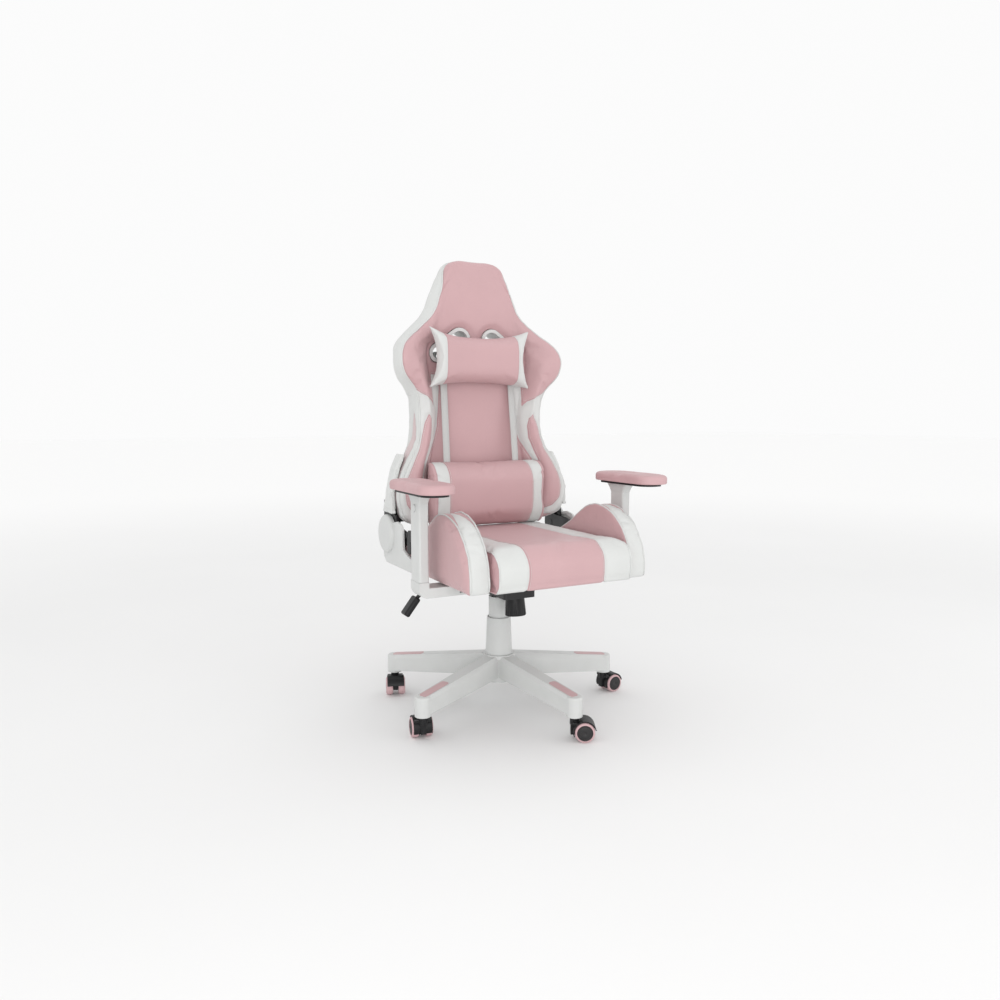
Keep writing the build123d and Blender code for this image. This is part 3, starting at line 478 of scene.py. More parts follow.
class Soft:
    """One stuffed piece: its mesh and how far it may puff."""

    def __init__(self, obj, voxel, cap, shrink=2.0, pressure=4.0, hold=None):
        self.obj, self.cap, self.hold = obj, cap, hold
        remesh = obj.modifiers.new("even", "REMESH")
        remesh.mode, remesh.voxel_size = "VOXEL", voxel * MM
        bake_modifiers(obj)
        self.form = coords(obj)
        write_attribute(obj, "form", self.form)
        self.start = self.form - normals(obj) * shrink
        set_coords(obj, self.start)
        cloth = obj.modifiers.new("puff", "CLOTH")
        cloth.settings.quality = 4
        cloth.settings.mass = 0.25
        cloth.settings.use_pressure = True
        cloth.settings.uniform_pressure_force = pressure
        cloth.settings.effector_weights.gravity = 0.0
        cloth.point_cache.frame_start = 1
        cloth.point_cache.frame_end = CLOTH_FRAMES
        soft_pieces.append(self)

    def settle(self):
        """Takes the puffed shape, limits how far it went, and subdivides it once."""
        obj = self.obj
        bake_modifiers(obj)
        moved = coords(obj) - self.start
        length = np.linalg.norm(moved, axis=1, keepdims=True) + 1e-9
        moved = moved / length * self.cap * np.tanh(length / self.cap)
        if self.hold is not None:
            moved *= self.hold(self.form)[:, None]
        set_coords(obj, self.start + moved)
        subdivision = obj.modifiers.new("finer", "SUBSURF")
        subdivision.levels = subdivision.render_levels = 1
        bake_modifiers(obj)
        shade_smooth(obj)
        self.form = triples(obj.data.attributes["form"].data, "vector").astype(float)


def puff_all():
    for number in range(1, CLOTH_FRAMES + 1):
        bpy.context.scene.frame_set(number)
    for piece in soft_pieces:
        piece.settle()
    bpy.context.scene.frame_set(1)


def zero_lines(obj, field, keep=None, shortest=20.0):
    """The lines on the mesh where the field is zero, as (points, normals, closed)."""
    co, nrm, tris = coords(obj), normals(obj), triangles(obj)
    above = field > 0
    count = above[tris].sum(axis=1)
    links, places = defaultdict(list), {}
    for tri in tris[(count == 1) | (count == 2)]:
        ends = []
        for i, j in ((tri[0], tri[1]), (tri[1], tri[2]), (tri[2], tri[0])):
            if above[i] == above[j]:
                continue
            key = (min(i, j), max(i, j))
            if key not in places:
                t = field[i] / (field[i] - field[j])
                value = 1.0 if keep is None else keep[i] + (keep[j] - keep[i]) * t
                places[key] = (co[i] + (co[j] - co[i]) * t, nrm[i] + (nrm[j] - nrm[i]) * t, value)
            ends.append(key)
        if keep is None or min(places[ends[0]][2], places[ends[1]][2]) > 0:
            links[ends[0]].append(ends[1])
            links[ends[1]].append(ends[0])
    lines, seen = [], set()
    starts = [k for k in links if len(links[k]) == 1] + list(links)
    for start in starts:
        if start in seen:
            continue
        chain, here = [start], start
        seen.add(start)
        while True:
            ahead = [k for k in links[here] if k not in seen]
            if not ahead:
                break
            here = ahead[0]
            seen.add(here)
            chain.append(here)
        closed = len(chain) > 3 and start in links[here]
        points = np.array([places[k][0] for k in chain])
        facing = np.array([places[k][1] for k in chain])
        if np.linalg.norm(np.diff(points, axis=0), axis=1).sum() > shortest:
            lines.append((points, facing, closed))
    return lines


def even_line(points, facing, closed, spacing, passes=6):
    """Smooths a line a little and spaces its points evenly."""
    for _ in range(passes):
        before, after = np.roll(points, 1, axis=0), np.roll(points, -1, axis=0)
        eased = 0.25 * before + 0.5 * points + 0.25 * after
        turned = 0.5 * facing + 0.25 * (np.roll(facing, 1, axis=0) + np.roll(facing, -1, axis=0))
        if not closed:
            eased[0], eased[-1] = points[0], points[-1]
            turned[0], turned[-1] = facing[0], facing[-1]
        points, facing = eased, turned
    if closed:
        points, facing = np.vstack([points, points[:1]]), np.vstack([facing, facing[:1]])
    along = np.concatenate([[0], np.cumsum(np.linalg.norm(np.diff(points, axis=0), axis=1))])
    count = max(4, int(round(along[-1] / spacing)))
    at = np.linspace(0, along[-1], count + 1)
    even = np.stack([np.interp(at, along, points[:, k]) for k in range(3)], axis=1)
    turned = np.stack([np.interp(at, along, facing[:, k]) for k in range(3)], axis=1)
    turned /= np.linalg.norm(turned, axis=1, keepdims=True) + 1e-9
    if closed:
        even, turned = even[:-1], turned[:-1]
    return even, turned


def tube(points, facing, radii, lift, sides, closed=False):
    """(points, faces) of a tube whose line is lifted off the surface along its normals."""
    if closed:
        along = np.roll(points, -1, axis=0) - np.roll(points, 1, axis=0)
    else:
        along = np.gradient(points, axis=0)
    along /= np.linalg.norm(along, axis=1, keepdims=True) + 1e-9
    across = np.cross(along, facing)
    across /= np.linalg.norm(across, axis=1, keepdims=True) + 1e-9
    up = np.cross(across, along)
    centres = points + facing * lift
    turns = np.arange(sides) * 2 * pi / sides
    rings = [centres[:, None] + radii[:, None, None] * (cos(a) * across + sin(a) * up)[:, None]
             for a in turns]
    faces = rings_to_faces(len(points), sides, wrap=closed)
    return np.concatenate(rings, axis=1).reshape(-1, 3), faces


def columns(form):
    """The distance from the chair's middle, the y and the z of every vertex."""
    return np.abs(form[:, 0]), form[:, 1], form[:, 2]


def join_parts(name, parts):
    """One object from several (points, faces) parts."""
    points, faces, base = [], [], 0
    for part_points, part_faces in parts:
        points.append(np.asarray(part_points, float))
        faces.extend(tuple(i + base for i in face) for face in part_faces)
        base += len(part_points)
    return new_object(name, np.vstack(points), faces)


def piping(name, piece, seams, radius, body):
    """White covered cord along the zero lines of the given (field, keep) pairs."""
    parts = []
    for field, keep in seams:
        for points, facing, closed in zero_lines(piece.obj, field, keep):
            line, turned = even_line(points, facing, closed, PIPING_SPACING)
            radii = np.full(len(line), radius)
            if not closed:
                radii[0] = radii[-1] = radius * 0.35
            parts.append(tube(line, turned, radii, radius * 0.45, 8, closed))
    return dress(join_parts(name, parts), PIPING_WHITE, body)


def stitching(name, piece, rows, body, material=STITCH_WHITE, pitch=5.0):
    """Runs of short raised stitches along the zero lines of (field, keep) pairs."""
    parts = []
    for field, keep in rows:
        for points, facing, closed in zero_lines(piece.obj, field, keep):
            line, turned = even_line(points, facing, closed, pitch / 4)
            for first in range(0, len(line) - 3, 4):
                dash, up = line[first:first + 4], turned[first:first + 4]
                lift = THREAD_R * np.array([-0.4, 0.5, 0.5, -0.4])[:, None]
                radii = THREAD_R * np.array([0.35, 1.0, 1.0, 0.35])
                parts.append(tube(dash + up * lift, up, radii, 0.0, 5))
    return dress(join_parts(name, parts), material, body)


def dress(obj, material, body):
    """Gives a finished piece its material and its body."""
    obj.data.materials.clear()
    obj.data.materials.append(material)
    shade_smooth(obj)
    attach(obj, body)
    return obj


def near_seams(seams, reach):
    """1 on the nearest seam, fading to 0 at about twice the reach from it."""
    near = 0.0
    for field, keep in seams:
        share = np.exp(-(field / reach) ** 2)
        near = np.maximum(near, share * (1.0 if keep is None else np.clip(keep / 3.0, 0, 1)))
    return near


def sew(piece, pink, seams, depth, width):
    """Writes the panel field, presses a groove along each seam and puckers the cloth."""
    obj = piece.obj
    write_attribute(obj, "pink", pink)
    near, beside = near_seams(seams, width), near_seams(seams, width * 3.2)
    ripple = np.zeros(len(piece.form))
    for index in np.nonzero(beside > 0.05)[0]:
        ripple[index] = noise.noise(Vector(piece.form[index] * 0.055))
    co, nrm = coords(obj), normals(obj)
    set_coords(obj, co - nrm * (near * depth + beside * ripple * 0.9)[:, None])
    # The "seam" field also tells the leatherette where to darken the cloth with painted shade.
    write_attribute(obj, "seam", near)


# ---- the back ----
# Height, half-width at the front of the wings, half-width at the rear, half-width of the
# flat centre panel, the wings' front y.
BACK_STATIONS = np.array((
    (489, 206, 200, 148, 84), (502, 236, 222, 155, 69), (540, 260, 236, 160, 57),
    (590, 266, 238, 158, 55), (650, 244, 230, 148, 63), (720, 208, 208, 134, 79),
    (790, 200, 202, 128, 86), (860, 210, 210, 136, 77), (910, 245, 238, 148, 63),
    (950, 252, 243, 152, 59), (990, 236, 237, 146, 72), (1030, 190, 203, 126, 97),
    (1075, 141, 163, 108, 117), (1130, 115, 135, 92, 125), (1185, 90, 106, 70, 130),
    (1207, 74, 88, 52, 135), (1217, 56, 68, 36, 141), (1222, 36, 44, 20, 150)), float)
BACK_FRONT_Y, BACK_REAR_Y, SIDE_Y = 137.0, 195.0, 158.0
FRONT_FACE_Y, REAR_FACE_Y = 150.0, 188.0      # where the front panels end, the rear one starts
CREASE_TOP_Z = 990.0                  # the creases beside the centre panel end here
CROWN_Z = 1186.0                      # above it the white edge goes over the top
SEAM_HEIGHTS = (489.0, 1210.0)        # seams read the stations between these
SLOT_TOP = (50.0, 1001.0, 32.0)       # x, z and radius of the slot bezel's upper lobe
SLOT_LOW = (116.0, 962.0, 25.0)       # the same for its lower, outer lobe
SLOT_CUT_Y = (40.0, 260.0)            # where the slot's cutter starts and ends


def back_at(z):
    """The back's four section measures at a height."""
    return [hermite(BACK_STATIONS[:, 0], BACK_STATIONS[:, k], z) for k in (1, 2, 3, 4)]


def back_half_section(z):
    front_w, rear_w, centre_w, front_y = back_at(z)
    centre_y = max(BACK_FRONT_Y, front_y + 5.0)
    depth, span = centre_y - front_y, front_w - centre_w
    return [(0.0, centre_y), (0.55 * centre_w, centre_y), (centre_w, centre_y),
            (front_w - 0.52 * span, front_y + 0.16 * depth), (front_w - 0.14 * span, front_y),
            (front_w, front_y + 0.22 * (SIDE_Y - front_y)), (rear_w, SIDE_Y),
            (0.93 * rear_w, BACK_REAR_Y - 6.0), (0.84 * rear_w, BACK_REAR_Y),
            (0.4 * rear_w, BACK_REAR_Y), (0.0, BACK_REAR_Y)]


def back_form():
    heights = np.concatenate([np.arange(489.0, 1206.0, 8.0), np.arange(1207.0, 1223.0, 3.0)])
    rings = []
    for z in heights:
        half = back_half_section(z)
        outline = half + [(-x, y) for x, y in reversed(half[1:-1])]
        outline = chaikin(outline, True, 2)
        rings.append(np.column_stack([outline, np.full(len(outline), z)]))
    faces = rings_to_faces(len(rings), len(rings[0]))
    back = new_object("back_cushion_skin", np.vstack(rings), faces)
    for side in (-1, 1):
        cutter = slot_cutter(side)
        cut = back.modifiers.new("slot", "BOOLEAN")
        cut.object, cut.operation, cut.solver = cutter, "DIFFERENCE", "EXACT"
        bake_modifiers(back)
        bpy.data.objects.remove(cutter)
    return back


def slot_outline():
    """The kidney round both lobes of a strap slot, on the +X side, in (x, z)."""
    (x0, z0, r0), (x1, z1, r1) = SLOT_TOP, SLOT_LOW
    span = np.hypot(x1 - x0, z1 - z0)
    heading = np.arctan2(z1 - z0, x1 - x0)
    lean = np.arccos((r0 - r1) / span)
    first = heading + np.linspace(lean, 2 * pi - lean, 20)
    second = heading + np.linspace(-lean, lean, 14)
    upper = [(x0 + r0 * cos(a), z0 + r0 * sin(a)) for a in first]
    lower = [(x1 + r1 * cos(a), z1 + r1 * sin(a)) for a in second]
    return upper + lower


def slot_cutter(side):
    """A prism through the back, turned so that its faces point outwards on either side."""
    outline = [(side * x, z) for x, z in slot_outline()][::-side]
    points = [(x, y, z) for y in SLOT_CUT_Y for x, z in outline]
    return new_object("slot_cutter", points, rings_to_faces(2, len(outline)))


def slot_distance(form):
    """Distance outside the strap slots, negative within them."""
    return -polygon_distance(np.abs(form[:, 0]), form[:, 2], slot_outline())


def back_hold(form):
    """How freely the back may puff: not at its slots, and little under the straps."""
    x, y, z = columns(form)
    free = 0.12 + 0.88 * step(2.0, 26.0, slot_distance(form))
    flat = step(0.0, 22.0, x - back_at(z)[2] + 6.0)
    front = (y < FRONT_FACE_Y) & (z < CREASE_TOP_Z)
    free *= np.where(front, 0.22 + 0.78 * flat, 1.0) * (1.0 - 0.7 * step(1180.0, 1205.0, z))
    return free * np.where(y > 185.0, 0.45, 1.0)


# Panel outlines seen from the front, in (|x|, z), and the flank's from the side, in (y, z).
TEARDROP = ((168, 795), (180, 772), (190, 738), (198, 705), (214, 660), (232, 620), (239, 585),
            (234, 552), (214, 526), (180, 508), (157, 505), (175, 550), (182, 608), (175, 663),
            (163, 692), (151, 727), (148, 760), (152, 784))
WHITE_STRIP = ((113, 905), (114, 862), (118, 800), (121, 765), (128, 738), (135, 718),
               (150, 690), (162, 668), (172, 640), (175, 608), (168, 550), (150, 500),
               (400, 500), (400, 872), (218, 866), (190, 852), (168, 843), (148, 832),
               (137, 818), (139, 905))
FLANK_PANEL = ((118, 806), (128, 770), (140, 700), (149, 620), (150, 510), (96, 510), (84, 560),
               (92, 640), (104, 720), (111, 780))


def flank_field(form):
    """Positive on the back's outer sides, between the front edge and the rear panel."""
    x, y, z = columns(form)
    front_w, _, centre_w, front_y = back_at(np.clip(z, *SEAM_HEIGHTS))
    edge_y = front_y + 0.10 * (SIDE_Y - front_y) + 22.0 * step(1140.0, 1222.0, z)
    inner = front_w - 0.13 * (front_w - centre_w) - 25.0 * step(1110.0, 1222.0, z)
    sides = np.minimum(y - edge_y, REAR_FACE_Y - y)
    return np.where(z > CROWN_Z, sides, np.minimum(sides, x - inner))


def make_back():
    return Soft(back_form(), 6.4, 9.0, shrink=1.2, pressure=5.0, hold=back_hold)


def finish_back(piece):
    form = piece.form
    x, y, z = columns(form)
    facing_front, facing_rear = y < FRONT_FACE_Y, y > REAR_FACE_Y
    _, rear_w, centre_w, _ = back_at(np.clip(z, *SEAM_HEIGHTS))
    flank = flank_field(form)
    strip = polygon_distance(x, z, WHITE_STRIP)
    drop = polygon_distance(x, z, TEARDROP)
    panel = polygon_distance(y, z, FLANK_PANEL)
    front_pink = np.maximum(-strip, drop)
    rear_pink = 0.84 * rear_w - 28.0 - x
    pink = np.where(facing_rear, rear_pink, np.where(facing_front, front_pink, NOT_PINK))
    # Painted light: inside the lower flank panel the pink field stops at 0.1, so the colour is 60
    # % pink and 40 % white, a pale pink standing in for the strong light on the back's sides.
    panel_painted_light = np.minimum(panel, 0.1)
    pink = np.where(flank > 0, np.maximum(-flank, panel_painted_light),
                    np.where(facing_rear, pink, np.minimum(pink, -flank)))
    front_keep = np.where(facing_front, -flank, NOT_SEWN)
    rear_keep = y - REAR_FACE_Y - 2.0
    crease_keep = np.minimum(np.minimum(CREASE_TOP_Z - z, FRONT_FACE_Y - y),
                             slot_distance(form) - 6.0)
    seams = [(flank, None), (drop, front_keep), (strip, front_keep), (panel, flank),
             (rear_pink, rear_keep), (x - centre_w, crease_keep)]
    sew(piece, pink, seams, depth=2.2, width=4.0)
    obj = dress(piece.obj, LEATHER, "back")
    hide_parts("back_cushion")
    front_edge = np.where(y < FRONT_FACE_Y + 10.0, 8.0, NOT_SEWN)
    piping("back_piping", piece, [(flank, front_edge)], 2.1, "back")
    rows = [(drop - 4.0, front_keep), (drop + 4.0, front_keep), (strip + 4.0, front_keep),
            (strip - 4.0, np.minimum(front_keep, -drop - 6.0))]
    stitching("back_stitching", piece, rows, "back")
    stitching("back_rear_stitching", piece, [(rear_pink - 4.0, rear_keep)], "back", STITCH_PINK)


# ---- the seat ----
STRIPE_X = 107.0
SIDE_SEAM_X = 186.5
COVER_LOW_Z = 392.0                   # seams and piping run above this height


def seat_hold(form):
    """Flat where it sits on its frame and at the rear, freest along the front roll."""
    y, z = form[:, 1], form[:, 2]
    free = step(388.0, 402.0, z) * (0.55 + 0.45 * step(-200.0, -300.0, y))
    return free * (1.0 - 0.6 * step(60.0, 120.0, y))


def make_seat():
    return Soft(copy_of_node("seat_cushion_skin", "seat_cushion"), 6.0, 9.0, shrink=1.4,
                hold=seat_hold)


def finish_seat(piece):
    x, _, z = columns(piece.form)
    centre, side = STRIPE_X - x, x - SIDE_SEAM_X
    top = np.where(z > COVER_LOW_Z, SEWN, NOT_SEWN)
    sew(piece, np.maximum(centre, side), [(centre, None), (side, top)], depth=2.4, width=4.5)
    obj = dress(piece.obj, LEATHER, "seat")
    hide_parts("seat_cushion")
    piping("seat_piping", piece, [(side, top)], 2.0, "seat")
    stitching("seat_stitching", piece, [(centre - 4.0, top), (centre + 4.0, top)], "seat")


WING_IN_X, WING_OUT_X = 190.5, 250.0


def wing_hold(form):
    free = step(WING_IN_X, WING_IN_X + 12.0, np.abs(form[:, 0]))
    return (0.10 + 0.90 * free) * (0.2 + 0.8 * step(386.0, 410.0, form[:, 2]))


def make_wing(side):
    return Soft(copy_of_node("seat_wing_skin_" + side, "seat_wing_" + side), 5.0, 6.0,
                shrink=2.5, hold=wing_hold)


def finish_wing(piece, side):
    x, y, z = columns(piece.form)
    taper = step(-130.0, -300.0, y)
    inner, outer = WING_IN_X + 4.0, WING_OUT_X - 7.0
    band = (outer - inner) / 2 * taper - np.abs(x - (inner + outer) / 2)
    top = np.where(z > COVER_LOW_Z, SEWN, NOT_SEWN)
    edges = [(x - inner, top), (x - outer, top)]
    sew(piece, -band, [(band, top), *edges], depth=1.2, width=3.2)
    name = "seat_wing_" + side
    obj = dress(piece.obj, LEATHER, "seat")
    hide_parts(name)
    piping(name + "_piping", piece, edges, 2.0, "seat")
    stitching(name + "_stitching", piece, [(band - 4.5, top)], "seat")


# ---- pillows ----
HEAD_X = -13.0
HEAD_HALF_W, HEAD_WAIST = 158.0, 20.0
HEAD_Z, HEAD_HALF_H = 947.0, 88.0
HEAD_TOP_DIP, HEAD_LOW_DIP = 24.0, 15.0
HEAD_END_LEAN = 24.0
HEAD_Y, HEAD_FRONT_T, HEAD_REAR_T = 104.0, 41.0, 16.0
HEAD_STRIPE_X = 108.0
HEAD_COLUMNS, HEAD_ROWS = 61, 37
RIM_HALF_T = 0.8


def head_rim_y(u):
    """The y of the rim seam, which comes forward towards the pillow's ends."""
    return HEAD_Y - HEAD_END_LEAN * np.abs(u) ** 4


def head_pillow_form():
    """Two skins that meet in a seam with four pinched corners."""
    wide, high = HEAD_COLUMNS, HEAD_ROWS
    grid_u, grid_v = np.meshgrid(np.linspace(-1, 1, wide), np.linspace(-1, 1, high))
    x = HEAD_X + grid_u * (HEAD_HALF_W - HEAD_WAIST * (1 - grid_v**2))
    dip = np.where(grid_v > 0, HEAD_TOP_DIP, HEAD_LOW_DIP)
    z = HEAD_Z + grid_v * (HEAD_HALF_H - dip * (1 - np.abs(grid_u) ** 2.6))
    full = ((1 - grid_u**4) * (1 - np.abs(grid_v) ** 3.2)) ** 0.5
    rim_y = head_rim_y(grid_u)
    front = np.stack([x, rim_y - HEAD_FRONT_T * full - RIM_HALF_T, z], axis=-1).reshape(-1, 3)
    rear = np.stack([x, rim_y + HEAD_REAR_T * full + RIM_HALF_T, z], axis=-1).reshape(-1, 3)
    faces = []
    total = wide * high
    for r in range(high - 1):
        for c in range(wide - 1):
            a, b = r * wide + c, r * wide + c + 1
            d, e = a + wide, b + wide
            faces.append((a, b, e, d))
            faces.append((total + a, total + d, total + e, total + b))
    rim = list(range(wide)) + [r * wide + wide - 1 for r in range(1, high)]
    rim += [(high - 1) * wide + c for c in range(wide - 2, -1, -1)]
    rim += [r * wide for r in range(high - 2, 0, -1)]
    for i, j in zip(rim, rim[1:] + rim[:1]):
        faces.append((j, i, total + i, total + j))
    return new_object("head_pillow_skin", np.vstack([front, rear]), faces)


def head_hold(form):
    return 1.0 - 0.7 * step(100.0, 120.0, form[:, 1])


def make_head_pillow():
    return Soft(head_pillow_form(), 4.2, 7.0, shrink=1.2, pressure=4.0, hold=head_hold)


def finish_head_pillow(piece):
    form = piece.form
    x = np.abs(form[:, 0] - HEAD_X)
    pink = HEAD_STRIPE_X - x
    rim = form[:, 1] - head_rim_y(x / HEAD_HALF_W)
    sew(piece, pink, [(pink, None), (rim, None)], depth=1.4, width=3.6)
    obj = dress(piece.obj, LEATHER, "head")
    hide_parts("head_pillow")
    stitching("head_pillow_stitching", piece, [(pink + 3.5, None)], "head", pitch=FINE_PITCH)


LUMBAR_BAND_IN, LUMBAR_BAND_OUT = 128.0, 163.0


def lumbar_hold(form):
    free = 1.0 - 0.9 * step(112.0, 128.0, form[:, 1])
    return free * (0.30 + 0.70 * step(488.0, 506.0, form[:, 2]))


def make_lumbar_pillow():
    return Soft(copy_of_node("lumbar_pillow_skin", "lumbar_pillow"), 5.0, 8.0, shrink=0.4,
                hold=lumbar_hold)


def finish_lumbar_pillow(piece):
    x = columns(piece.form)[0]
    inner, outer = x - LUMBAR_BAND_IN, x - LUMBAR_BAND_OUT
    pink = -np.minimum(inner, -outer)
    sew(piece, pink, [(inner, None), (outer, None)], depth=1.8, width=3.8)
    obj = dress(piece.obj, LEATHER, "lumbar")
    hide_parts("lumbar_pillow")
    stitching("lumbar_pillow_stitching", piece, [(inner + 3.5, None), (inner - 3.5, None)],
              "lumbar", pitch=FINE_PITCH)


# ---- arm pads and hinge covers ----
PARTING_Z = 623.0                     # the parting line of the arm pads' mould
HEM_Z, WELT_Y, WELT_IN_X = 542.0, 130.0, 240.0


def pad_hold(form):
    return step(615.0, 628.0, form[:, 2])


def make_arm_pad(side):
    return Soft(copy_of_node("arm_pad_skin_" + side, "arm_pad_" + side), 4.0, 3.0, shrink=1.2,
                pressure=2.0, hold=pad_hold)


def finish_arm_pad(piece, side):
    """A shallow dish along the top, and the mould's parting line round the edge."""
    form = piece.form
    obj = piece.obj
    low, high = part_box("arm_pad_" + side)
    middle = (Vector(low) + Vector(high)) / 2 / MM
    half = (Vector(high) - Vector(low)) / 2 / MM
    u, v = (form[:, 0] - middle.x) / half.x, (form[:, 1] - middle.y) / half.y
    co, nrm = coords(obj), normals(obj)
    dish = 2.2 * np.clip(1 - 1.6 * u**2, 0, 1) * np.clip(1 - 1.2 * v**2, 0, 1)
    top = step(630.0, 637.0, form[:, 2])
    co[:, 2] -= dish * top
    groove = 0.7 * np.exp(-((form[:, 2] - PARTING_Z) / 1.6) ** 2)
    set_coords(obj, co - nrm * groove[:, None])
    write_attribute(obj, "seam", groove)
    dress(obj, ARMPAD, "arm_rest_" + side)
    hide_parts("arm_pad_" + side)


def cover_hold(form):
    return step(230.0, 258.0, np.abs(form[:, 0])) * 0.6 + 0.15


def make_hinge_covers():
    return Soft(copy_of_node("hinge_upper_covers_skin", "hinge_upper_covers"), 4.0, 3.0,
                shrink=1.0, pressure=4.0, hold=cover_hold)


def finish_hinge_covers(piece):
    x, y, z = columns(piece.form)
    hem = z - HEM_Z
    seams = [(hem, None), (y - WELT_Y, x - WELT_IN_X)]
    sew(piece, np.full(len(y), NOT_PINK), seams, depth=1.0, width=3.0)
    obj = dress(piece.obj, LEATHER, "back")
    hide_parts("hinge_upper_covers")
    stitching("hinge_cover_stitching", piece, [(hem - 3.0, None)], "back", pitch=FINE_PITCH)


# ---- straps ----
STRAP_X, STRAP_Y, STRAP_W, STRAP_T = 104.0, 132.2, 20.0, 1.9
STRAP_REAR_Y = BACK_REAR_Y + 5.0
TACK_ZS = (700.0, 706.0)              # the two rows of thread that close each lumbar strap
HEAD_STRAP_X, HEAD_STRAP_W, CROSS_STRAP_W = 50.0, 21.0, 16.0


def band(path, across, width, thick):
    """A flat band with round edges along a path; across is the unit vector of its width."""
    path = np.asarray(path, float)
    along = np.gradient(path, axis=0)
    along /= np.linalg.norm(along, axis=1, keepdims=True)
    across = np.asarray(across, float)
    out = np.cross(along, across)
    half, edge = width / 2, thick / 2
    profile = [(-half, 0.0), (-half + edge * 0.6, edge), (-half / 2, edge * 0.86),
               (0.0, edge), (half / 2, edge * 0.86), (half - edge * 0.6, edge), (half, 0.0),
               (half - edge * 0.6, -edge), (0.0, -edge), (-half + edge * 0.6, -edge)]
    rings = np.stack([path + across * u + out * v for u, v in profile], axis=1)
    return rings.reshape(-1, 3), rings_to_faces(len(path), len(profile))


def fine_path(points, passes=3, spacing=6.0):
    """A path with its corners rounded and its points evenly spaced."""
    rounded = chaikin(points, False, passes)
    along = np.concatenate([[0], np.cumsum(np.linalg.norm(np.diff(rounded, axis=0), axis=1))])
    at = np.linspace(0, along[-1], int(along[-1] / spacing) + 2)
    return np.stack([np.interp(at, along, rounded[:, k]) for k in range(3)], axis=1)


def make_straps():
    rear = STRAP_REAR_Y
    parts = []
    for side in (-1, 1):
        x = side * STRAP_X
        inside = x + 3.0 * side
        route = [(inside, STRAP_Y, 496), (inside, STRAP_Y, 560), (inside, 100.0, 640),
                 (inside, 100.0, 664), (x, STRAP_Y - 4.0, 900), (x, STRAP_Y - 0.5, 958),
                 (x, STRAP_Y + 6, 966), (x, rear - 6, 966), (x, rear, 958), (x, rear, 800),
                 (x, rear, 561)]
        parts.append(band(fine_path(route), (1, 0, 0), STRAP_W, STRAP_T))
        for z in TACK_ZS:
            line = fine_path([(x - 8, rear + 1.3, z), (x + 8, rear + 1.3, z)], 1, 4.0)
            facing = np.tile((0.0, 1.0, 0.0), (len(line), 1))
            parts.append(tube(line, facing, np.full(len(line), 0.5), 0.0, 5))
    obj = dress(join_parts("lumbar_straps_webbing", parts), ELASTIC, "back")
    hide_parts("lumbar_straps")


def make_head_strap():
    rear = STRAP_REAR_Y
    parts = []
    for side in (-1, 1):
        x = side * HEAD_STRAP_X
        route = [(x, 124.0, 936), (x, 130.0, 946), (x, STRAP_Y, 962), (x, STRAP_Y, 995),
                 (x, STRAP_Y + 0.8, 1001), (x, STRAP_Y + 5, 1002), (x, rear - 5, 1002),
                 (x, rear - 0.8, 1001), (x, rear, 995), (x, rear, 985)]
        path = fine_path(route, spacing=2.0)
        parts.append(band(path, (1, 0, 0), HEAD_STRAP_W, STRAP_T))
    across = [(-60.5, rear, 992.5), (0, rear + 0.8, 992.5), (60.5, rear, 992.5)]
    parts.append(band(fine_path(across), (0, 0, 1), CROSS_STRAP_W, STRAP_T + 0.2))
    obj = dress(join_parts("head_strap_webbing", parts), ELASTIC, "head")
    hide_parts("head_strap")


# ---- wheels ----
WHEEL_SEGMENTS, WHEEL_SPOKES = 48, 5


def lathe(profile):
    """(points, faces) of an (along, radius) outline turned about the X axis."""
    rings = []
    for k in range(WHEEL_SEGMENTS):
        a = 2 * pi * k / WHEEL_SEGMENTS
        rings.append([(u, r * cos(a), r * sin(a)) for u, r in profile])
    count = len(profile)
    faces = []
    for k in range(WHEEL_SEGMENTS):
        m = (k + 1) % WHEEL_SEGMENTS
        for i in range(count - 1):
            a, b = k * count + i, k * count + i + 1
            c, d = m * count + i + 1, m * count + i
            faces.append((a, b, c, d))
    return np.array(rings).reshape(-1, 3), faces


TREAD_PROFILE = ((-9.5, 19.6), (-9.3, 21.6), (-8.2, 23.6), (-5.5, 24.7), (-2.0, 25.0), (2.0, 25.0),
                 (5.5, 24.7), (8.2, 23.6), (9.3, 21.6), (9.6, 20.4), (9.2, 19.8), (7.4, 19.6),
                 (-7.6, 19.4), (-9.5, 19.6))
DISC_PROFILE = ((-7.5, 19.5), (-6.8, 18.6), (-6.2, 9.0), (-8.8, 8.6), (-9.2, 7.4), (-9.2, 2.6),
                (-1.8, 2.6), (-1.8, 0.01))
FACE_PROFILE = ((7.4, 19.6), (8.6, 19.2), (8.9, 18.4), (8.1, 17.6), (8.0, 15.2), (8.7, 14.6),
                (9.3, 13.0), (9.6, 8.0), (9.5, 4.0), (9.0, 3.4), (8.9, 0.01))


def on_axle(points, away, centre):
    """Moves a part turned about X so that its axis runs along a horizontal direction."""
    side = np.cross((0.0, 0.0, 1.0), away)
    out = points[:, :1] * away + points[:, 1:2] * side + points[:, 2:3] * np.array((0, 0, 1.0))
    return out + centre


def wheel_axis(number, side):
    """The wheel's middle and its outward axis, from the two wheels' boxes."""
    middles = {}
    for name in ("left", "right"):
        low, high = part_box(f"caster_{number}_wheel_{name}")
        middles[name] = np.array((low + high) / 2) / MM
    other = "right" if side == "left" else "left"
    away = middles[side] - middles[other]
    away[2] = 0.0
    return middles[side], away / np.linalg.norm(away)


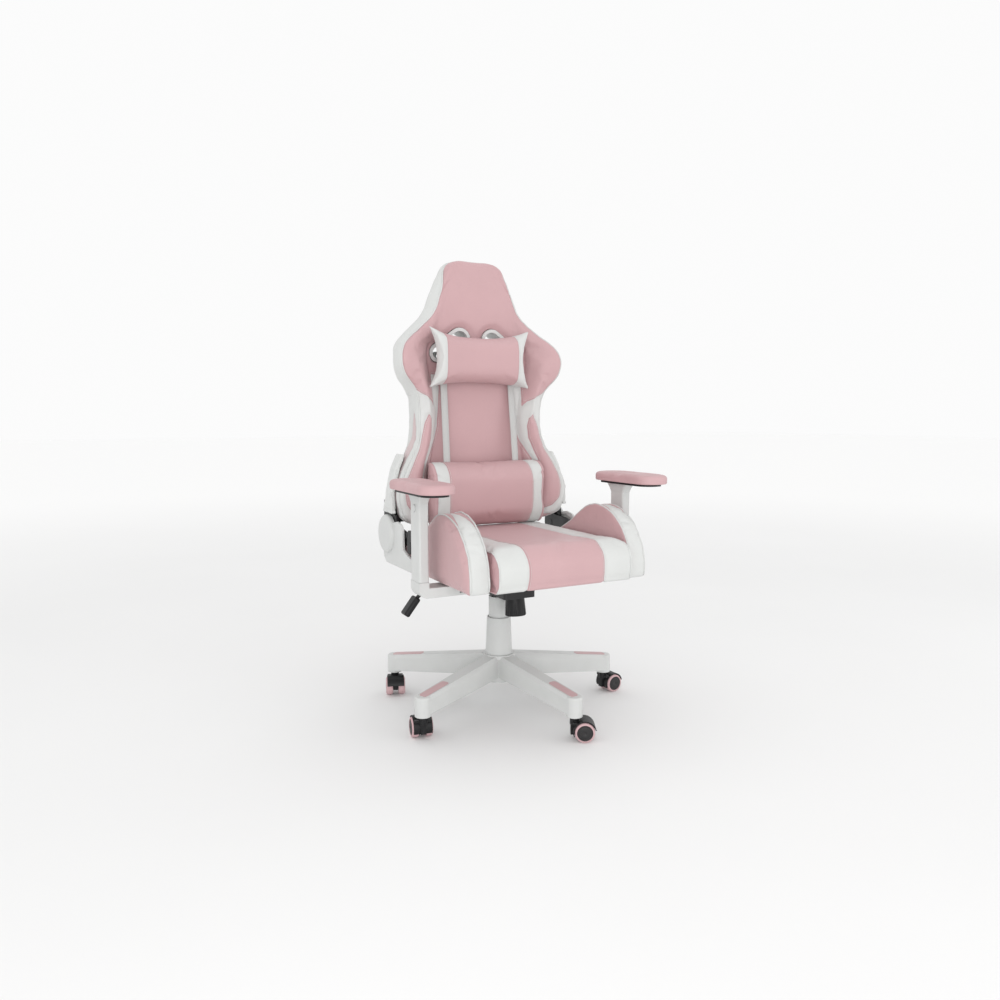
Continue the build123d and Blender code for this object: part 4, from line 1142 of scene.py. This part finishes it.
def make_wheel(number, side):
    centre, away = wheel_axis(number, side)
    body = f"caster_{number}_{side}"
    tread_points, tread_faces = lathe(TREAD_PROFILE)
    tread = new_object(f"caster_{number}_tread_{side}", on_axle(tread_points, away, centre),
                       tread_faces)
    dress(tread, TREAD, body)
    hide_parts(f"caster_{number}_wheel_{side}")
    parts = []
    for profile in (DISC_PROFILE, FACE_PROFILE):
        points, faces = lathe(profile)
        parts.append((on_axle(points, away, centre), faces))
    for k in range(WHEEL_SPOKES):
        points, faces = rounded_bar(8.0, 15.2, 1.6, 0.7)
        turn = 2 * pi * k / WHEEL_SPOKES
        out, across = points[:, 0], points[:, 1]
        spun = np.column_stack([points[:, 2] + 8.2, out * cos(turn) - across * sin(turn),
                                out * sin(turn) + across * cos(turn)])
        parts.append((on_axle(spun, away, centre), faces))
    disc = join_parts(f"caster_{number}_disc_{side}", parts)
    dress(disc, WHEEL_DISC, body)


def rounded_bar(start, end, half_w, height):
    """A low rounded rib along X, from start to end."""
    stations = [(start, 0.3), (start + 1.0, 1.0), (end - 1.0, 1.0), (end, 0.3)]
    profile = [(-1.0, 0.0), (-0.75, 0.75), (0.0, 1.0), (0.75, 0.75), (1.0, 0.0)]
    rings = [[(x, s * half_w * u, s * height * v) for u, v in profile] for x, s in stations]
    return np.array(rings).reshape(-1, 3), rings_to_faces(len(stations), len(profile))


# ---- finishes for the CAD nodes that stay ----
def finish_cad_nodes():
    slots = {entry["node"]: entry["material_slot"] for entry in frame["record"]["subparts"]}
    for name, obj in frame["nodes"].items():
        if obj.hide_render:
            continue
        material = CAD_MATERIALS.get(slots.get(name))
        if material is None:
            print("no finish for", name, slots.get(name))
            continue
        if not obj.material_slots:
            obj.data.materials.append(material)
        for held in obj.material_slots:
            held.material = material


# ---- studio ----
FLOOR_HALF = 30000.0
# Each light's name, place and width in metres, and power in watts.
LIGHTS = (("key", (-1.5, -2.9, 1.0), 2.2, 30.0), ("top", (0.3, 0.2, 3.4), 2.6, 4.0),
          ("fill", (2.4, -2.2, 0.8), 2.0, 8.0))
LIGHT_AIM = (0.0, 0.0, 0.6)
WORLD_STRENGTH = 0.97
CAMERA_PLACE = (-1.006, -1.899, 0.787)
CAMERA_TILT, CAMERA_TURN = 84.1, -28.0
SENSOR_MM, LENS_MM = 36.0, 28.8


def make_studio():
    corners = [(-FLOOR_HALF, -FLOOR_HALF, 0), (FLOOR_HALF, -FLOOR_HALF, 0),
               (FLOOR_HALF, FLOOR_HALF, 0), (-FLOOR_HALF, FLOOR_HALF, 0)]
    floor = new_object("studio_floor", corners, [(0, 1, 2, 3)])
    floor.data.materials.append(studio_floor())
    world = bpy.data.worlds.new("studio")
    world.use_nodes = True
    background = world.node_tree.nodes["Background"]
    background.inputs["Color"].default_value = (1.0, 1.0, 1.0, 1.0)
    background.inputs["Strength"].default_value = WORLD_STRENGTH
    bpy.context.scene.world = world
    for light in LIGHTS:
        add_light(*light)


def add_light(name, place, size, power):
    lamp = bpy.data.lights.new(name, "AREA")
    lamp.shape, lamp.size, lamp.energy = "DISK", size, power
    obj = bpy.data.objects.new(name, lamp)
    obj.location = place
    aim = Vector(LIGHT_AIM) - Vector(place)
    obj.rotation_mode = "QUATERNION"
    obj.rotation_quaternion = aim.to_track_quat("-Z", "Y")
    bpy.context.scene.collection.objects.link(obj)


def make_camera():
    data = bpy.data.cameras.new("camera")
    data.sensor_width, data.lens = SENSOR_MM, LENS_MM
    camera = bpy.data.objects.new("camera", data)
    camera.location = CAMERA_PLACE
    camera.rotation_euler = (radians(CAMERA_TILT), 0.0, radians(CAMERA_TURN))
    bpy.context.scene.collection.objects.link(camera)
    bpy.context.scene.camera = camera


# ---- the making ----
bpy.context.scene.view_settings.view_transform = "Standard"
make_camera()
make_studio()

back = make_back()
seat = make_seat()
wings = {side: make_wing(side) for side in ("left", "right")}
head_pillow = make_head_pillow()
lumbar_pillow = make_lumbar_pillow()
arm_pads = {side: make_arm_pad(side) for side in ("left", "right")}
hinge_covers = make_hinge_covers()
puff_all()

finish_back(back)
finish_seat(seat)
for side, wing in wings.items():
    finish_wing(wing, side)
finish_head_pillow(head_pillow)
finish_lumbar_pillow(lumbar_pillow)
for side, pad in arm_pads.items():
    finish_arm_pad(pad, side)
finish_hinge_covers(hinge_covers)
make_straps()
make_head_strap()
for number in range(1, 6):
    for side in ("left", "right"):
        make_wheel(number, side)
finish_cad_nodes()
